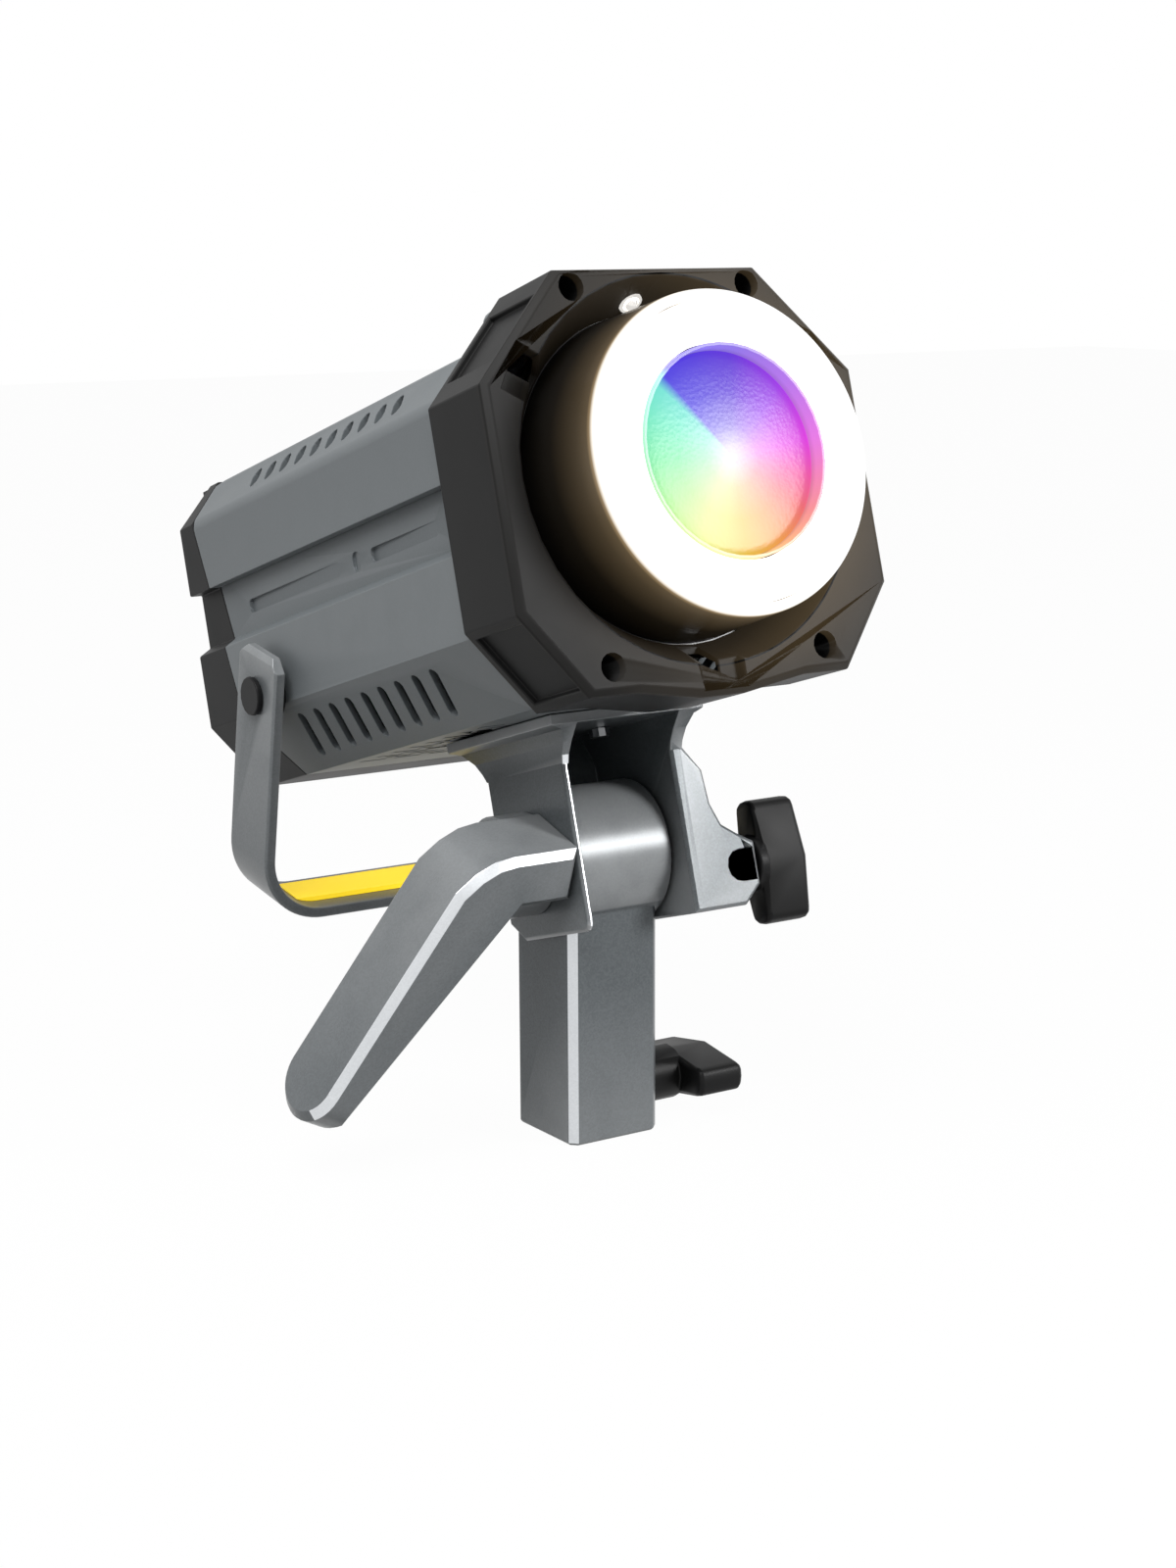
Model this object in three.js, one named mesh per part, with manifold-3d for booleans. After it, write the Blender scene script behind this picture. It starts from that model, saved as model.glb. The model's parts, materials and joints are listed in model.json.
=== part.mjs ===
// Compact LED video light on a tilting yoke with a stand socket, in millimetres, +Z up.
// The origin is the centre of the post's bottom face, where the post seats on a light stand.
// The light points towards -Y, and stands tilted up on its yoke.
import * as THREE from 'three';
import { mergeVertices } from 'three/addons/utils/BufferGeometryUtils.js';
import Module from 'manifold-3d';

const wasm = await Module();
wasm.setup();

// Clearances and overruns shared by all pieces
const seatGap = 0.3;
const runningGap = 0.35;
const overrun = 2;

// Facets on round pieces
const wideFacets = 40;
const roundFacets = 16;
const screwFacets = 10;
const hexSides = 6;
const pinFacets = 8;
const bendSegments = 3;
const wideBendSegments = 8;
const weldWithin = 1e-4;

// Width of the case, and what the bezel and the bail stand off from it on each side
const caseHalfWidth = 59;
const bezelProud = 2;
const bailAir = 3.2;

// Square post and tilt barrel
const postWidth = 30.8;
const postCorner = 2.2;
const postFootBevel = 0.8;
const pivotHeight = 82.6;
const barrelRadius = 20.8;
const barrelWidth = 32;
const studBore = 16.2;
const studDepth = 50;
const standScrewHeight = 12;

// Clamp screws and their T-shaped grips
const screwRadius = 3;
const gripLength = 37;
const gripWidth = 13.6;
const gripEndWidth = 8.8;
const gripThickness = 16;
const gripCorner = 3;
const gripBevel = 1.2;
const gripHubRadius = 8.3;
const standHubLength = 12.5;
const wingHubLength = 2.2;

// Tilt of the head, and the pivot's place behind and below the front opening's centre
const headTilt = THREE.MathUtils.degToRad(16.56);
const pivotBehindFront = 83;
const pivotBelowAxis = 96.7;
const tiltBoltRadius = 4;
const tiltNutRadius = 7;
const tiltNutLength = 6;
const frictionDisc = 0.8;
const frictionDiscRadius = 19.4;

// Yoke casting
const earThickness = 2.2;
const rightEarThickness = 4.1;
const earFront = 26.2;
const earBack = 16.8;
const earBelow = 22;
const earNeckTop = 25.6;
const earFoot = 3;
const earHeelRise = 5.2;
const earHeelRun = 7;
const saddleThickness = 3;
const saddleFront = 34;
const saddleBack = 25.5;
const saddleHalfWidth = 26;
const webThickness = 2.6;
const barrelAir = 1.5;
const earEdgeBevel = 0.9;

// Umbrella wing on the right ear
const wingDepth = 14;
const wingReach = 24.4;
const wingTop = 26.4;
const wingNeckReach = 10.3;
const wingNeckDrop = 7.6;
const wingArmReach = 18.7;
const wingArmDrop = 27.1;
const wingTipDrop = 30.2;
const wingTipRise = 5.6;
const wingTipRun = 6;
const wingNeckEase = 2;
const umbrellaHole = 9.2;
const umbrellaHoleOut = 18.3;
const umbrellaHoleBelow = 10.2;

// Tilt lever, with its heights and reaches measured from the pivot
const leverFront = 24;
const leverBack = 1.5;
const leverTop = 16.6;
const leverBevel = 2.3;
const leverTwist = THREE.MathUtils.degToRad(33.5);
const leverHubRadius = 15;
const leverHubLength = 11.5;
const leverFlat = 40.8;
const leverShoulder = 58.1;
const leverShoulderHeight = 7.6;
const leverTip = 96.1;
const leverTipDrop = 62.5;
const leverUnderTip = 87.4;
const leverUnderTipDrop = 67.2;
const leverUnderRoot = 35.9;

// Front bezel
const bezelHalfWidth = caseHalfWidth + bezelProud;
const bezelTop = 55.4;
const bezelTopCorner = 33.1;
const bezelShoulder = 25.6;
const bezelHip = 35.3;
const bezelBottom = 58.6;
const bezelBottomCorner = 42.9;
const bezelChin = 61.8;
const bezelChinHalf = 7;
const bezelChinStart = 27.7;
const bezelDepth = 29.3;
const bezelWall = 3.2;
const bezelBevel = 1.8;
const bezelFrontWall = 4.4;
const openingRadius = 53.3;
const ringRadius = 45.9;
const funnelDepth = 13;
const funnelWall = 2;
const notchRadius = 59.8;
const notchWidth = 13.6;
const notchDepth = 2.6;
const notchSlotWidth = 7;
const notchClock = THREE.MathUtils.degToRad(120);
const pocketDepth = 1.7;
const pocketLength = 23.5;
const pocketMargin = 3;
const upperScrewX = 28.8;
const upperScrewZ = 50.3;
const lowerScrewX = 35.1;
const lowerScrewZ = 51.3;
const screwWell = 3.95;
const screwPost = 6.5;
const screwFloor = 3;
const caseScrewHead = 3.2;
const caseScrewHeadLength = 2.4;
const caseScrewRadius = 1.5;
const caseScrewLength = 14;

// Sprung ball of the bayonet lock
const ballRadius = 2.2;
const ballSleeveRadius = 3.4;
const ballSleeveWall = 0.9;
const ballSleeveLength = 6;
const ballBossWall = 1.5;
const ballAcross = 4.2;
const ballRise = 47.6;
const ballDepth = 9;
const ballTravel = 1;
const springWire = 0.5;
const springTurns = 3;
const springSteps = 8;
const wireSides = 5;

// Collar, glowing ring and front lens
const collarFront = 21.5;
const collarFrontRadius = 44;
const collarFillet = 3;
const collarWall = 2.4;
const collarFlange = 50;
const collarFlangeThickness = 2.6;
const enginePostRadius = 3;
const enginePostAcross = 34;
const glowOuter = 40.7;
const glowThickness = 3;
const lensBarrelRadius = 29;
const lensBarrelWall = 0.9;
const lensBarrelLength = 30;
const barrelWebBack = 4;
const barrelWebThickness = 2.5;
const lensSink = 3.2;
const lensThickness = 3;
const lensSeat = 1.2;

// Light engine behind the lens
const reflectorWall = 1.2;
const reflectorThroat = 12.5;
const reflectorRim = 2;
const cobSize = 30;
const cobThickness = 1.6;
const phosphorRadius = 11;
const phosphorThickness = 0.5;
const engineFace = 44;
const cobClampSize = 48;
const cobClampThickness = 3;
const cobClampLip = 1.1;
const spreaderSize = 56;
const spreaderThickness = 4;
const sinkBase = 6;
const sinkLength = 58;
const finThickness = 1.6;
const finCount = 13;

// Fan, and the heat sink that is as wide as the fan
const fanSize = 70;
const sinkSize = fanSize;
const fanDepth = 20;
const fanRim = 2.5;
const fanBore = fanSize / 2 - fanRim;
const fanHub = 15;
const fanTipAir = 1.5;
const fanTip = fanBore - fanTipAir;
const fanChordShare = 0.9;
const fanBladeThickness = 1.2;
const fanBladeRise = 9;
const fanBlades = 7;
const fanSpoke = 4;
const fanPlate = 2.4;
const fanSpindle = 2;
const fanScrewInset = 4.25;
const fanScrewSpacing = fanSize - 2 * fanScrewInset;

// Case shells
const caseTop = 40.7;
const caseTopCorner = 46;
const caseShoulder = 27;
const caseLip = 5.5;
const caseLap = 6.5;
const grooveDepth = 4;
const grooveBottom = 11.5;
const grooveLedge = 13.8;
const caseHip = 36.7;
const caseBottom = 57.2;
const caseBottomCorner = 43.2;
const caseWall = 2;
const caseRearAtAxis = 180.3;
const caseRearSlope = 0.2394;
const upperVentCount = 10;
const upperVentFirst = 59.3;
const upperVentPitch = 10.2;
const upperVentLength = 3.8;
const upperVentSlant = 2.4;
const upperVentWidth = 4.4;
const lowerVentCount = 9;
const lowerVentFirst = 62;
const lowerVentPitch = 10.26;
const lowerVentLength = 13;
const lowerVentSlant = 6.4;
const lowerVentWidth = 3.4;
const flangeInset = 2.6;
const flangeThickness = 3;
const flangeRib = 2.4;
const upperBossRadius = 4.2;
const upperBossLength = 10;
const pressDepth = 1.1;
const pressRise = 3.8;
const pressWidth = 4.3;
const pressCorner = 1.4;
const longPressFront = 102.5;
const longPressRear = 163.7;
const shortPressFront = 44;
const shortPressRear = 83;
const ovalPressFront = 89.8;
const ovalPressRear = 94.6;
const ovalPressWidth = 6;
const ovalPressCorner = 2.3;
const grilleStart = 67.2;
const grilleRows = 15;
const grilleColumns = 6;
const grilleMargin = 3;
const grilleSlotLength = 9;
const grilleSlotWidth = 2.4;
const grilleColumnPitch = 12;
const grilleRowPitch = 5.2;
const sinkRibAcross = 24;
const sinkRibWall = 3;

// Rear cap and its panel
const rearFace = 198;
const rearWall = 2.6;
const rearBevel = 1.6;
const rearVisor = 4.5;
const rearVisorWall = 1.8;
const rearUpperScrewX = 37;
const rearUpperScrewZ = 35.4;
const rearLowerScrewX = 36;
const rearLowerScrewZ = 51.4;
const panelHalfWidth = 44;
const panelTop = 30;
const panelBottom = 40;
const panelThickness = 2.4;
const panelSink = 1.2;
const panelCorner = 4;
const panelLedge = 2.4;
const windowWidth = 46;
const windowHeight = 18;
const windowRise = 16.6;
const windowCorner = 2;
const screenMargin = 1.2;
const screenThickness = 2.6;
const dialRadius = 9.5;
const dialLength = 7.4;
const dialSpacing = 27;
const dialDrop = 3.5;
const dialShaft = 3;
const dialShaftSeat = 4;
const encoderSize = 14;
const encoderDepth = 7;
const buttonWidth = 9;
const buttonHeight = 6;
const buttonProud = 1.6;
const buttonTravel = 0.8;
const buttonFlange = 1;
const buttonPitch = 13;
const buttonPlunger = 1.5;
const switchWidth = 14;
const switchHeight = 20;
const switchWall = 1.6;
const switchRim = 1.5;
const switchDepth = 12;
const switchAcross = 30;
const switchDrop = 27.5;
const rockerHalfHeight = 7.4;
const rockerFront = 3.4;
const rockerPin = 1.2;
const rockerPinReach = 1;
const rockerAngle = THREE.MathUtils.degToRad(9);
const inletRadius = 9.5;
const inletBore = 7.2;
const inletWall = 1.4;
const inletDepth = 15;
const inletProud = 1.6;
const inletPin = 0.9;
const inletPinRing = 3.4;
const inletPinCount = 4;
const inletBase = 2;
const inletPinReach = 4.6;
const portWidth = 9;
const portHeight = 3.4;
const portWall = 0.5;
const portTongue = 0.8;
const portDepth = 8;
const portDrop = 28;

// Circuit boards
const boardThickness = 1.6;
const driverWidth = 84;
const driverLength = 28;
const driverStart = 139;
const driverDrop = 42;
const driverPostRadius = 2.5;
const controlMargin = 6;
const controlWidth = 2 * (dialSpacing + encoderSize / 2 + controlMargin);
const controlTop = 27;
const controlBottom = 31;
const headerHeight = 6;
const capacitorRadius = 6;
const capacitorLength = 18;
const capacitorSpacing = 14.4;
const coilRadius = 8;
const coilHeight = 9;
const chipSize = 12;
const chipHeight = 3;

// Carrying bail
const bailThickness = 3.4;
const bailAcross = caseHalfWidth + bailAir + bailThickness;
const bailWidth = 24;
const bailDrop = 70.7;
const bailTop = 14;
const bailTopCorner = 4;
const bailCorner = 21.5;
const bailLean = THREE.MathUtils.degToRad(26);
const bailPivotY = 148.4;
const bailPivotZ = 33;
const bailCapRadius = 5.9;
const bailCapThickness = 1.8;
const bailBoltRadius = 3;
const bailBushRadius = 5;
const bailBushFlange = 8;
const bailBossLength = 10;
const bailBossFloor = 4;
const bailBossWall = 2.4;
const bailGripThickness = 1.5;
const bailGripMargin = 5.5;
const bailEdgeBevel = 0.6;

const colours = {
  caseGrey: [0x5f6669, 0.5, 0.35],
  castGrey: [0x60676a, 0.42, 0.6],
  black: [0x1c1c1d, 0.6, 0.05],
  satinBlack: [0x131314, 0.4, 0.05],
  yellow: [0xf5bd0a, 0.5, 0],
  white: [0xf6f3ea, 0.5, 0],
  lens: [0xc9c3e6, 0.12, 0],
  chrome: [0xc8c8c8, 0.15, 1],
  steel: [0x9a9da0, 0.35, 1],
  aluminium: [0xb9bcc0, 0.4, 1],
  copper: [0xb4713d, 0.35, 1],
  brass: [0xb59a4c, 0.35, 1],
  phosphor: [0xf2d34f, 0.7, 0],
  board: [0x1e5a38, 0.6, 0],
  rubber: [0x202022, 0.9, 0],
};

const material = (name) => {
  const [color, roughness, metalness] = colours[name];
  return new THREE.MeshStandardMaterial({ color, roughness, metalness });
};

// A closed three.js geometry as a solid for cutting and joining, with its faces outwards
function solid(geometry, matrix = new THREE.Matrix4()) {
  const shape = geometry.clone();
  shape.deleteAttribute('normal');
  shape.deleteAttribute('uv');
  shape.applyMatrix4(matrix);
  const merged = mergeVertices(shape, weldWithin);
  const position = merged.attributes.position;
  const corner = (i) => new THREE.Vector3().fromBufferAttribute(position, i);
  const faces = [];
  let volume = 0;
  for (let i = 0; i < merged.index.count; i += 3) {
    const [a, b, c] = [0, 1, 2].map((k) => merged.index.getX(i + k));
    if (a === b || b === c || c === a) continue;
    volume += corner(a).dot(corner(b).cross(corner(c)));
    faces.push([a, b, c]);
  }
  const ordered = volume < 0 ? faces.map(([a, b, c]) => [a, c, b]) : faces;
  const mesh = new wasm.Mesh({
    numProp: 3,
    vertProperties: Float32Array.from(position.array),
    triVerts: Uint32Array.from(ordered.flat()),
  });
  return new wasm.Manifold(mesh);
}

// Places for solids: the same point and turn that a mesh would have
const placed = (x = 0, y = 0, z = 0, turnX = 0, turnY = 0, turnZ = 0) =>
  new THREE.Matrix4().compose(
    new THREE.Vector3(x, y, z),
    new THREE.Quaternion().setFromEuler(new THREE.Euler(turnX, turnY, turnZ, 'ZYX')),
    new THREE.Vector3(1, 1, 1),
  );

// Shapes between named limits
function block([x0, x1], [y0, y1], [z0, z1]) {
  const box = new THREE.BoxGeometry(x1 - x0, y1 - y0, z1 - z0);
  return solid(box, placed((x0 + x1) / 2, (y0 + y1) / 2, (z0 + z1) / 2));
}

function rodX(radius, [x0, x1], y = 0, z = 0, facets = roundFacets, endRadius = radius) {
  const bar = new THREE.CylinderGeometry(radius, endRadius, x1 - x0, facets);
  return solid(bar, placed((x0 + x1) / 2, y, z, 0, 0, Math.PI / 2));
}

function rodY(radius, [y0, y1], x = 0, z = 0, facets = roundFacets, endRadius = radius) {
  const bar = new THREE.CylinderGeometry(endRadius, radius, y1 - y0, facets);
  return solid(bar, placed(x, (y0 + y1) / 2, z));
}

function rodZ(radius, [z0, z1], x = 0, y = 0, facets = roundFacets) {
  const bar = new THREE.CylinderGeometry(radius, radius, z1 - z0, facets);
  return solid(bar, placed(x, y, (z0 + z1) / 2, Math.PI / 2));
}

// A ring or cup turned about the optical axis from [radius, y] corners of its section
function turned(section, facets = wideFacets) {
  const points = section.map(([radius, y]) => new THREE.Vector2(radius, y));
  points.push(points[0].clone());
  return solid(new THREE.LatheGeometry(points, facets));
}

const outlineOf = (points) => new THREE.Shape(points.map(([u, v]) => new THREE.Vector2(u, v)));

// A section in the X-Z plane, drawn out along +Y
function drawnY(shape, [y0, y1], bevel = 0, bends = bendSegments) {
  const bar = new THREE.ExtrudeGeometry(shape, {
    depth: y1 - y0 - 2 * bevel,
    bevelEnabled: bevel > 0,
    bevelSize: bevel,
    bevelThickness: bevel,
    bevelOffset: -bevel,
    bevelSegments: 1,
    curveSegments: bends,
  });
  const matrix = placed(0, y1 - bevel, 0, Math.PI / 2);
  return solid(bar, matrix);
}

// A section in the Y-Z plane, drawn out along +X
function drawnX(shape, [x0, x1], bevel = 0, bends = bendSegments) {
  const bar = new THREE.ExtrudeGeometry(shape, {
    depth: x1 - x0 - 2 * bevel,
    bevelEnabled: bevel > 0,
    bevelSize: bevel,
    bevelThickness: bevel,
    bevelOffset: -bevel,
    bevelSegments: 1,
    curveSegments: bends,
  });
  const basis = new THREE.Matrix4().makeBasis(
    new THREE.Vector3(0, 1, 0),
    new THREE.Vector3(0, 0, 1),
    new THREE.Vector3(1, 0, 0),
  );
  return solid(bar, placed(x0 + bevel, 0, 0).multiply(basis));
}

// A section in the X-Y plane, drawn up along +Z
function drawnZ(shape, [z0, z1], bevel = 0) {
  const bar = new THREE.ExtrudeGeometry(shape, {
    depth: z1 - z0 - 2 * bevel,
    bevelEnabled: bevel > 0,
    bevelSize: bevel,
    bevelThickness: bevel,
    bevelOffset: -bevel,
    bevelSegments: 1,
    curveSegments: bendSegments,
  });
  return solid(bar, placed(0, 0, z0 + bevel));
}

const turnedBy = (body, matrix) => body.transform(matrix.elements);
const joined = (...bodies) => bodies.reduce((whole, next) => whole.add(next));
const cut = (body, ...tools) => tools.reduce((left, tool) => left.subtract(tool), body);
const bothSides = (body) => [body, body.mirror([1, 0, 0])];

// A rounded rectangle in the plane of its outline
function roundedRectangle(width, height, corner, across = 0, up = 0) {
  const [halfWidth, halfHeight] = [width / 2, height / 2];
  const shape = new THREE.Shape();
  shape.moveTo(across - halfWidth + corner, up - halfHeight);
  shape.absarc(across + halfWidth - corner, up - halfHeight + corner, corner, -Math.PI / 2, 0);
  shape.absarc(across + halfWidth - corner, up + halfHeight - corner, corner, 0, Math.PI / 2);
  shape.absarc(across - halfWidth + corner, up + halfHeight - corner, corner, Math.PI / 2, Math.PI);
  shape.absarc(across - halfWidth + corner, up - halfHeight + corner, corner, Math.PI, 1.5 * Math.PI);
  return shape;
}

// The whole object, and the frames that its pieces are drawn in
const videoLight = new THREE.Group();
const pivotFrame = new THREE.Group();
pivotFrame.position.set(0, 0, pivotHeight);
pivotFrame.rotation.x = -headTilt;
videoLight.add(pivotFrame);
const leverFrame = new THREE.Group();
leverFrame.rotation.x = leverTwist;
pivotFrame.add(leverFrame);
const headFrame = new THREE.Group();
headFrame.position.set(0, -pivotBehindFront, pivotBelowAxis);
pivotFrame.add(headFrame);
const bailFrame = new THREE.Group();
bailFrame.position.set(0, bailPivotY, -bailPivotZ);
bailFrame.rotation.x = bailLean;
headFrame.add(bailFrame);

function place(name, body, colour, frame) {
  const { vertProperties, triVerts } = body.asOriginal().getMesh();
  const geometry = new THREE.BufferGeometry();
  geometry.setAttribute('position', new THREE.BufferAttribute(Float32Array.from(vertProperties), 3));
  geometry.setIndex(Array.from(triVerts));
  const flat = geometry.toNonIndexed();
  flat.computeVertexNormals();
  const mesh = new THREE.Mesh(flat, material(colour));
  mesh.name = name;
  frame.add(mesh);
}

// Post with the tilt barrel on top, bored for the stand's stud, the lock screw and the tilt bolt
const postHalf = postWidth / 2;
const barrelHalf = barrelWidth / 2;
const boltBore = tiltBoltRadius + runningGap;
const screwBore = screwRadius + seatGap;
const studRadius = studBore / 2;

function standPost() {
  const flat = postHalf - postCorner;
  const section = outlineOf([
    [-flat, -postHalf], [flat, -postHalf], [postHalf, -flat], [postHalf, flat],
    [flat, postHalf], [-flat, postHalf], [-postHalf, flat], [-postHalf, -flat],
  ]);
  const square = drawnZ(section, [0, pivotHeight], postFootBevel);
  const barrel = rodX(barrelRadius, [-barrelHalf, barrelHalf], 0, pivotHeight, wideFacets);
  return cut(
    joined(square, barrel),
    rodZ(studRadius, [-overrun, studDepth]),
    rodX(boltBore, [-barrelHalf - overrun, barrelHalf + overrun], 0, pivotHeight),
    rodX(screwBore, [0, postHalf + overrun], 0, standScrewHeight),
  );
}
place('stand_post', standPost(), 'castGrey', videoLight);

// T-shaped grip with a round hub: a lozenge that is long along Y, or along Z when upright
function gripOutline() {
  const [half, wide, end] = [gripLength / 2, gripWidth / 2, gripEndWidth / 2];
  const shape = new THREE.Shape();
  shape.moveTo(0, -wide);
  shape.lineTo(half - gripCorner, -end);
  shape.quadraticCurveTo(half, -end, half, 0);
  shape.quadraticCurveTo(half, end, half - gripCorner, end);
  shape.lineTo(0, wide);
  shape.lineTo(-half + gripCorner, end);
  shape.quadraticCurveTo(-half, end, -half, 0);
  shape.quadraticCurveTo(-half, -end, -half + gripCorner, -end);
  return shape;
}

function clampKnob(hubFrom, hubLength, upright) {
  const start = hubFrom + hubLength;
  const bar = drawnX(gripOutline(), [start, start + gripThickness], gripBevel);
  const bore = rodX(screwBore, [hubFrom - overrun, start + gripThickness / 2]);
  const grip = upright ? turnedBy(bar, placed(0, 0, 0, Math.PI / 2)) : bar;
  return cut(joined(grip, rodX(gripHubRadius, [hubFrom, start + gripBevel])), bore);
}

const clampScrew = (from, hubFrom, hubLength) =>
  rodX(screwRadius, [from, hubFrom + hubLength + gripThickness / 2 - seatGap], 0, 0, screwFacets);

// Stand lock: a screw through the post's right wall, driven by its grip
const standHubFrom = postHalf + seatGap;
const standScrew = clampScrew(studRadius, standHubFrom, standHubLength);
const standKnob = clampKnob(standHubFrom, standHubLength, false);
place('stand_lock_screw', standScrew.translate([0, 0, standScrewHeight]), 'steel', videoLight);
place('stand_lock_knob', standKnob.translate([0, 0, standScrewHeight]), 'satinBlack', videoLight);

// Friction discs between the barrel and the ears
const innerEar = barrelHalf + frictionDisc + 2 * seatGap;
function frictionRing(from) {
  return cut(
    rodX(frictionDiscRadius, [from, from + frictionDisc], 0, 0, roundFacets * 2),
    rodX(boltBore, [from - overrun, from + frictionDisc + overrun]),
  );
}
place('friction_disc_right', frictionRing(barrelHalf + seatGap), 'rubber', pivotFrame);
place('friction_disc_left', frictionRing(-barrelHalf - seatGap - frictionDisc), 'rubber', pivotFrame);

// Yoke: two ears, a back web and a saddle under the case, with the umbrella wing on the right ear
const leftEarOut = innerEar + earThickness;
const rightEarOut = innerEar + rightEarThickness;
const saddleTop = pivotBelowAxis - caseBottom - seatGap;
const saddleUnder = saddleTop - saddleThickness;

function earOutline() {
  const shape = new THREE.Shape();
  shape.moveTo(-saddleFront, saddleTop);
  shape.lineTo(-saddleFront, saddleUnder);
  shape.quadraticCurveTo(-earFront, earNeckTop + saddleThickness, -earFront, earNeckTop);
  shape.lineTo(-earFront, -earBelow + earFoot);
  shape.quadraticCurveTo(-earFront, -earBelow, -earFront + earFoot, -earBelow);
  shape.lineTo(earBack - earHeelRun, -earBelow);
  shape.lineTo(earBack, -earBelow + earHeelRise);
  shape.lineTo(earBack, earNeckTop);
  shape.quadraticCurveTo(earBack, earNeckTop + saddleThickness, saddleBack, saddleUnder);
  shape.lineTo(saddleBack, saddleTop);
  return shape;
}

function webOutline() {
  const inside = earBack - webThickness;
  const bottom = Math.sqrt((barrelRadius + barrelAir) ** 2 - inside ** 2);
  const shape = new THREE.Shape();
  shape.moveTo(inside, bottom);
  shape.lineTo(earBack, bottom);
  shape.lineTo(earBack, earNeckTop);
  shape.quadraticCurveTo(earBack, earNeckTop + saddleThickness, saddleBack, saddleUnder);
  shape.lineTo(saddleBack, saddleTop);
  shape.lineTo(saddleBack - webThickness, saddleTop);
  shape.quadraticCurveTo(inside, earNeckTop + saddleThickness, inside, earNeckTop);
  return shape;
}

// The ears' tops spread out sideways to the saddle's edges
function flareOutline(side, earOut) {
  const shape = new THREE.Shape();
  shape.moveTo(side * innerEar, earNeckTop);
  shape.lineTo(side * earOut, earNeckTop);
  shape.quadraticCurveTo(side * earOut, saddleUnder, side * saddleHalfWidth, saddleUnder);
  shape.lineTo(side * saddleHalfWidth, saddleTop);
  shape.lineTo(side * innerEar, saddleTop);
  return shape;
}

const wingOut = innerEar + wingReach;
const umbrellaX = innerEar + umbrellaHoleOut;
function wingOutline() {
  const shape = new THREE.Shape();
  const neck = innerEar + wingNeckReach;
  const arm = innerEar + wingArmReach;
  shape.moveTo(innerEar, wingTop);
  shape.lineTo(rightEarOut, wingTop);
  shape.lineTo(neck, wingTop - wingNeckDrop);
  shape.quadraticCurveTo(neck, wingTop - wingArmDrop + wingNeckEase, arm, wingTop - wingArmDrop);
  shape.lineTo(wingOut, wingTop - wingTipDrop);
  shape.lineTo(wingOut, -earBelow + wingTipRise);
  shape.lineTo(wingOut - wingTipRun, -earBelow);
  shape.lineTo(innerEar, -earBelow);
  return shape;
}

const wingFront = -earFront;
const wingBack = wingFront + wingDepth;
const umbrellaY = (wingFront + wingBack) / 2;

// D-shaped hole with its flat side outwards, where the screw presses the umbrella's shaft
function umbrellaBore() {
  const half = umbrellaHole / 2;
  const shape = new THREE.Shape();
  shape.moveTo(half, -half);
  shape.lineTo(half, half);
  shape.lineTo(0, half);
  shape.absarc(0, 0, half, Math.PI / 2, 1.5 * Math.PI);
  const bore = drawnY(shape, [wingFront - overrun, wingBack + overrun]);
  return bore.translate([umbrellaX, 0, -umbrellaHoleBelow]);
}

const saddleScrewX = innerEar / 2;
const saddleScrewY = (saddleBack - saddleFront) / 2;
const saddleScrewPlaces = [[-saddleScrewX, saddleScrewY], [saddleScrewX, saddleScrewY]];

function yoke() {
  const left = drawnX(earOutline(), [-leftEarOut, -innerEar], earEdgeBevel);
  const right = drawnX(earOutline(), [innerEar, rightEarOut], earEdgeBevel);
  const web = drawnX(webOutline(), [-leftEarOut + earEdgeBevel, rightEarOut - earEdgeBevel]);
  const saddle = block(
    [-saddleHalfWidth, saddleHalfWidth], [-saddleFront, saddleBack], [saddleUnder, saddleTop]);
  const earLimits = drawnX(earOutline(), [-saddleHalfWidth, saddleHalfWidth]);
  const flares = [[-1, leftEarOut], [1, rightEarOut]]
    .map(([side, out]) => drawnY(flareOutline(side, out), [-saddleFront, saddleBack]).intersect(earLimits));
  const wing = drawnY(wingOutline(), [wingFront, wingBack], earEdgeBevel);
  const nutSeat = rodX(tiltNutRadius + seatGap, [rightEarOut - earThickness, wingOut], 0, 0, hexSides);
  const screwWay = rodX(screwBore, [umbrellaX, wingOut + overrun], umbrellaY, -umbrellaHoleBelow);
  const screwHoles = saddleScrewPlaces.map(([x, y]) =>
    rodZ(caseScrewRadius + seatGap, [earNeckTop, saddleTop + overrun], x, y, screwFacets));
  return cut(
    joined(left, right, web, saddle, ...flares, wing),
    rodX(boltBore, [-leftEarOut - overrun, rightEarOut + overrun]),
    nutSeat, umbrellaBore(), screwWay, ...screwHoles,
  );
}
place('yoke', yoke(), 'castGrey', pivotFrame);

// Screws from under the saddle into the case
const saddleScrewTop = saddleTop + seatGap + caseWall + boardThickness;
const saddleHeadTop = saddleUnder - seatGap;
const saddleScrew = ([x, y]) => joined(
  rodZ(caseScrewRadius, [saddleHeadTop, saddleScrewTop], x, y, screwFacets),
  rodZ(caseScrewHead, [saddleHeadTop - caseScrewHeadLength, saddleHeadTop], x, y, screwFacets),
);
saddleScrewPlaces.forEach((at, i) => place(`saddle_screw_${i + 1}`, saddleScrew(at), 'steel', pivotFrame));

// Umbrella lock: its screw crosses the wing to the hole's flat side
const wingHubFrom = wingOut + seatGap;
const umbrellaScrewFrom = umbrellaX + umbrellaHole / 2;
const umbrellaScrew = clampScrew(umbrellaScrewFrom, wingHubFrom, wingHubLength);
const umbrellaKnob = clampKnob(wingHubFrom, wingHubLength, true);
const umbrellaLine = [0, umbrellaY, -umbrellaHoleBelow];
place('umbrella_lock_screw', umbrellaScrew.translate(umbrellaLine), 'steel', pivotFrame);
place('umbrella_lock_knob', umbrellaKnob.translate(umbrellaLine), 'satinBlack', pivotFrame);

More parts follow.
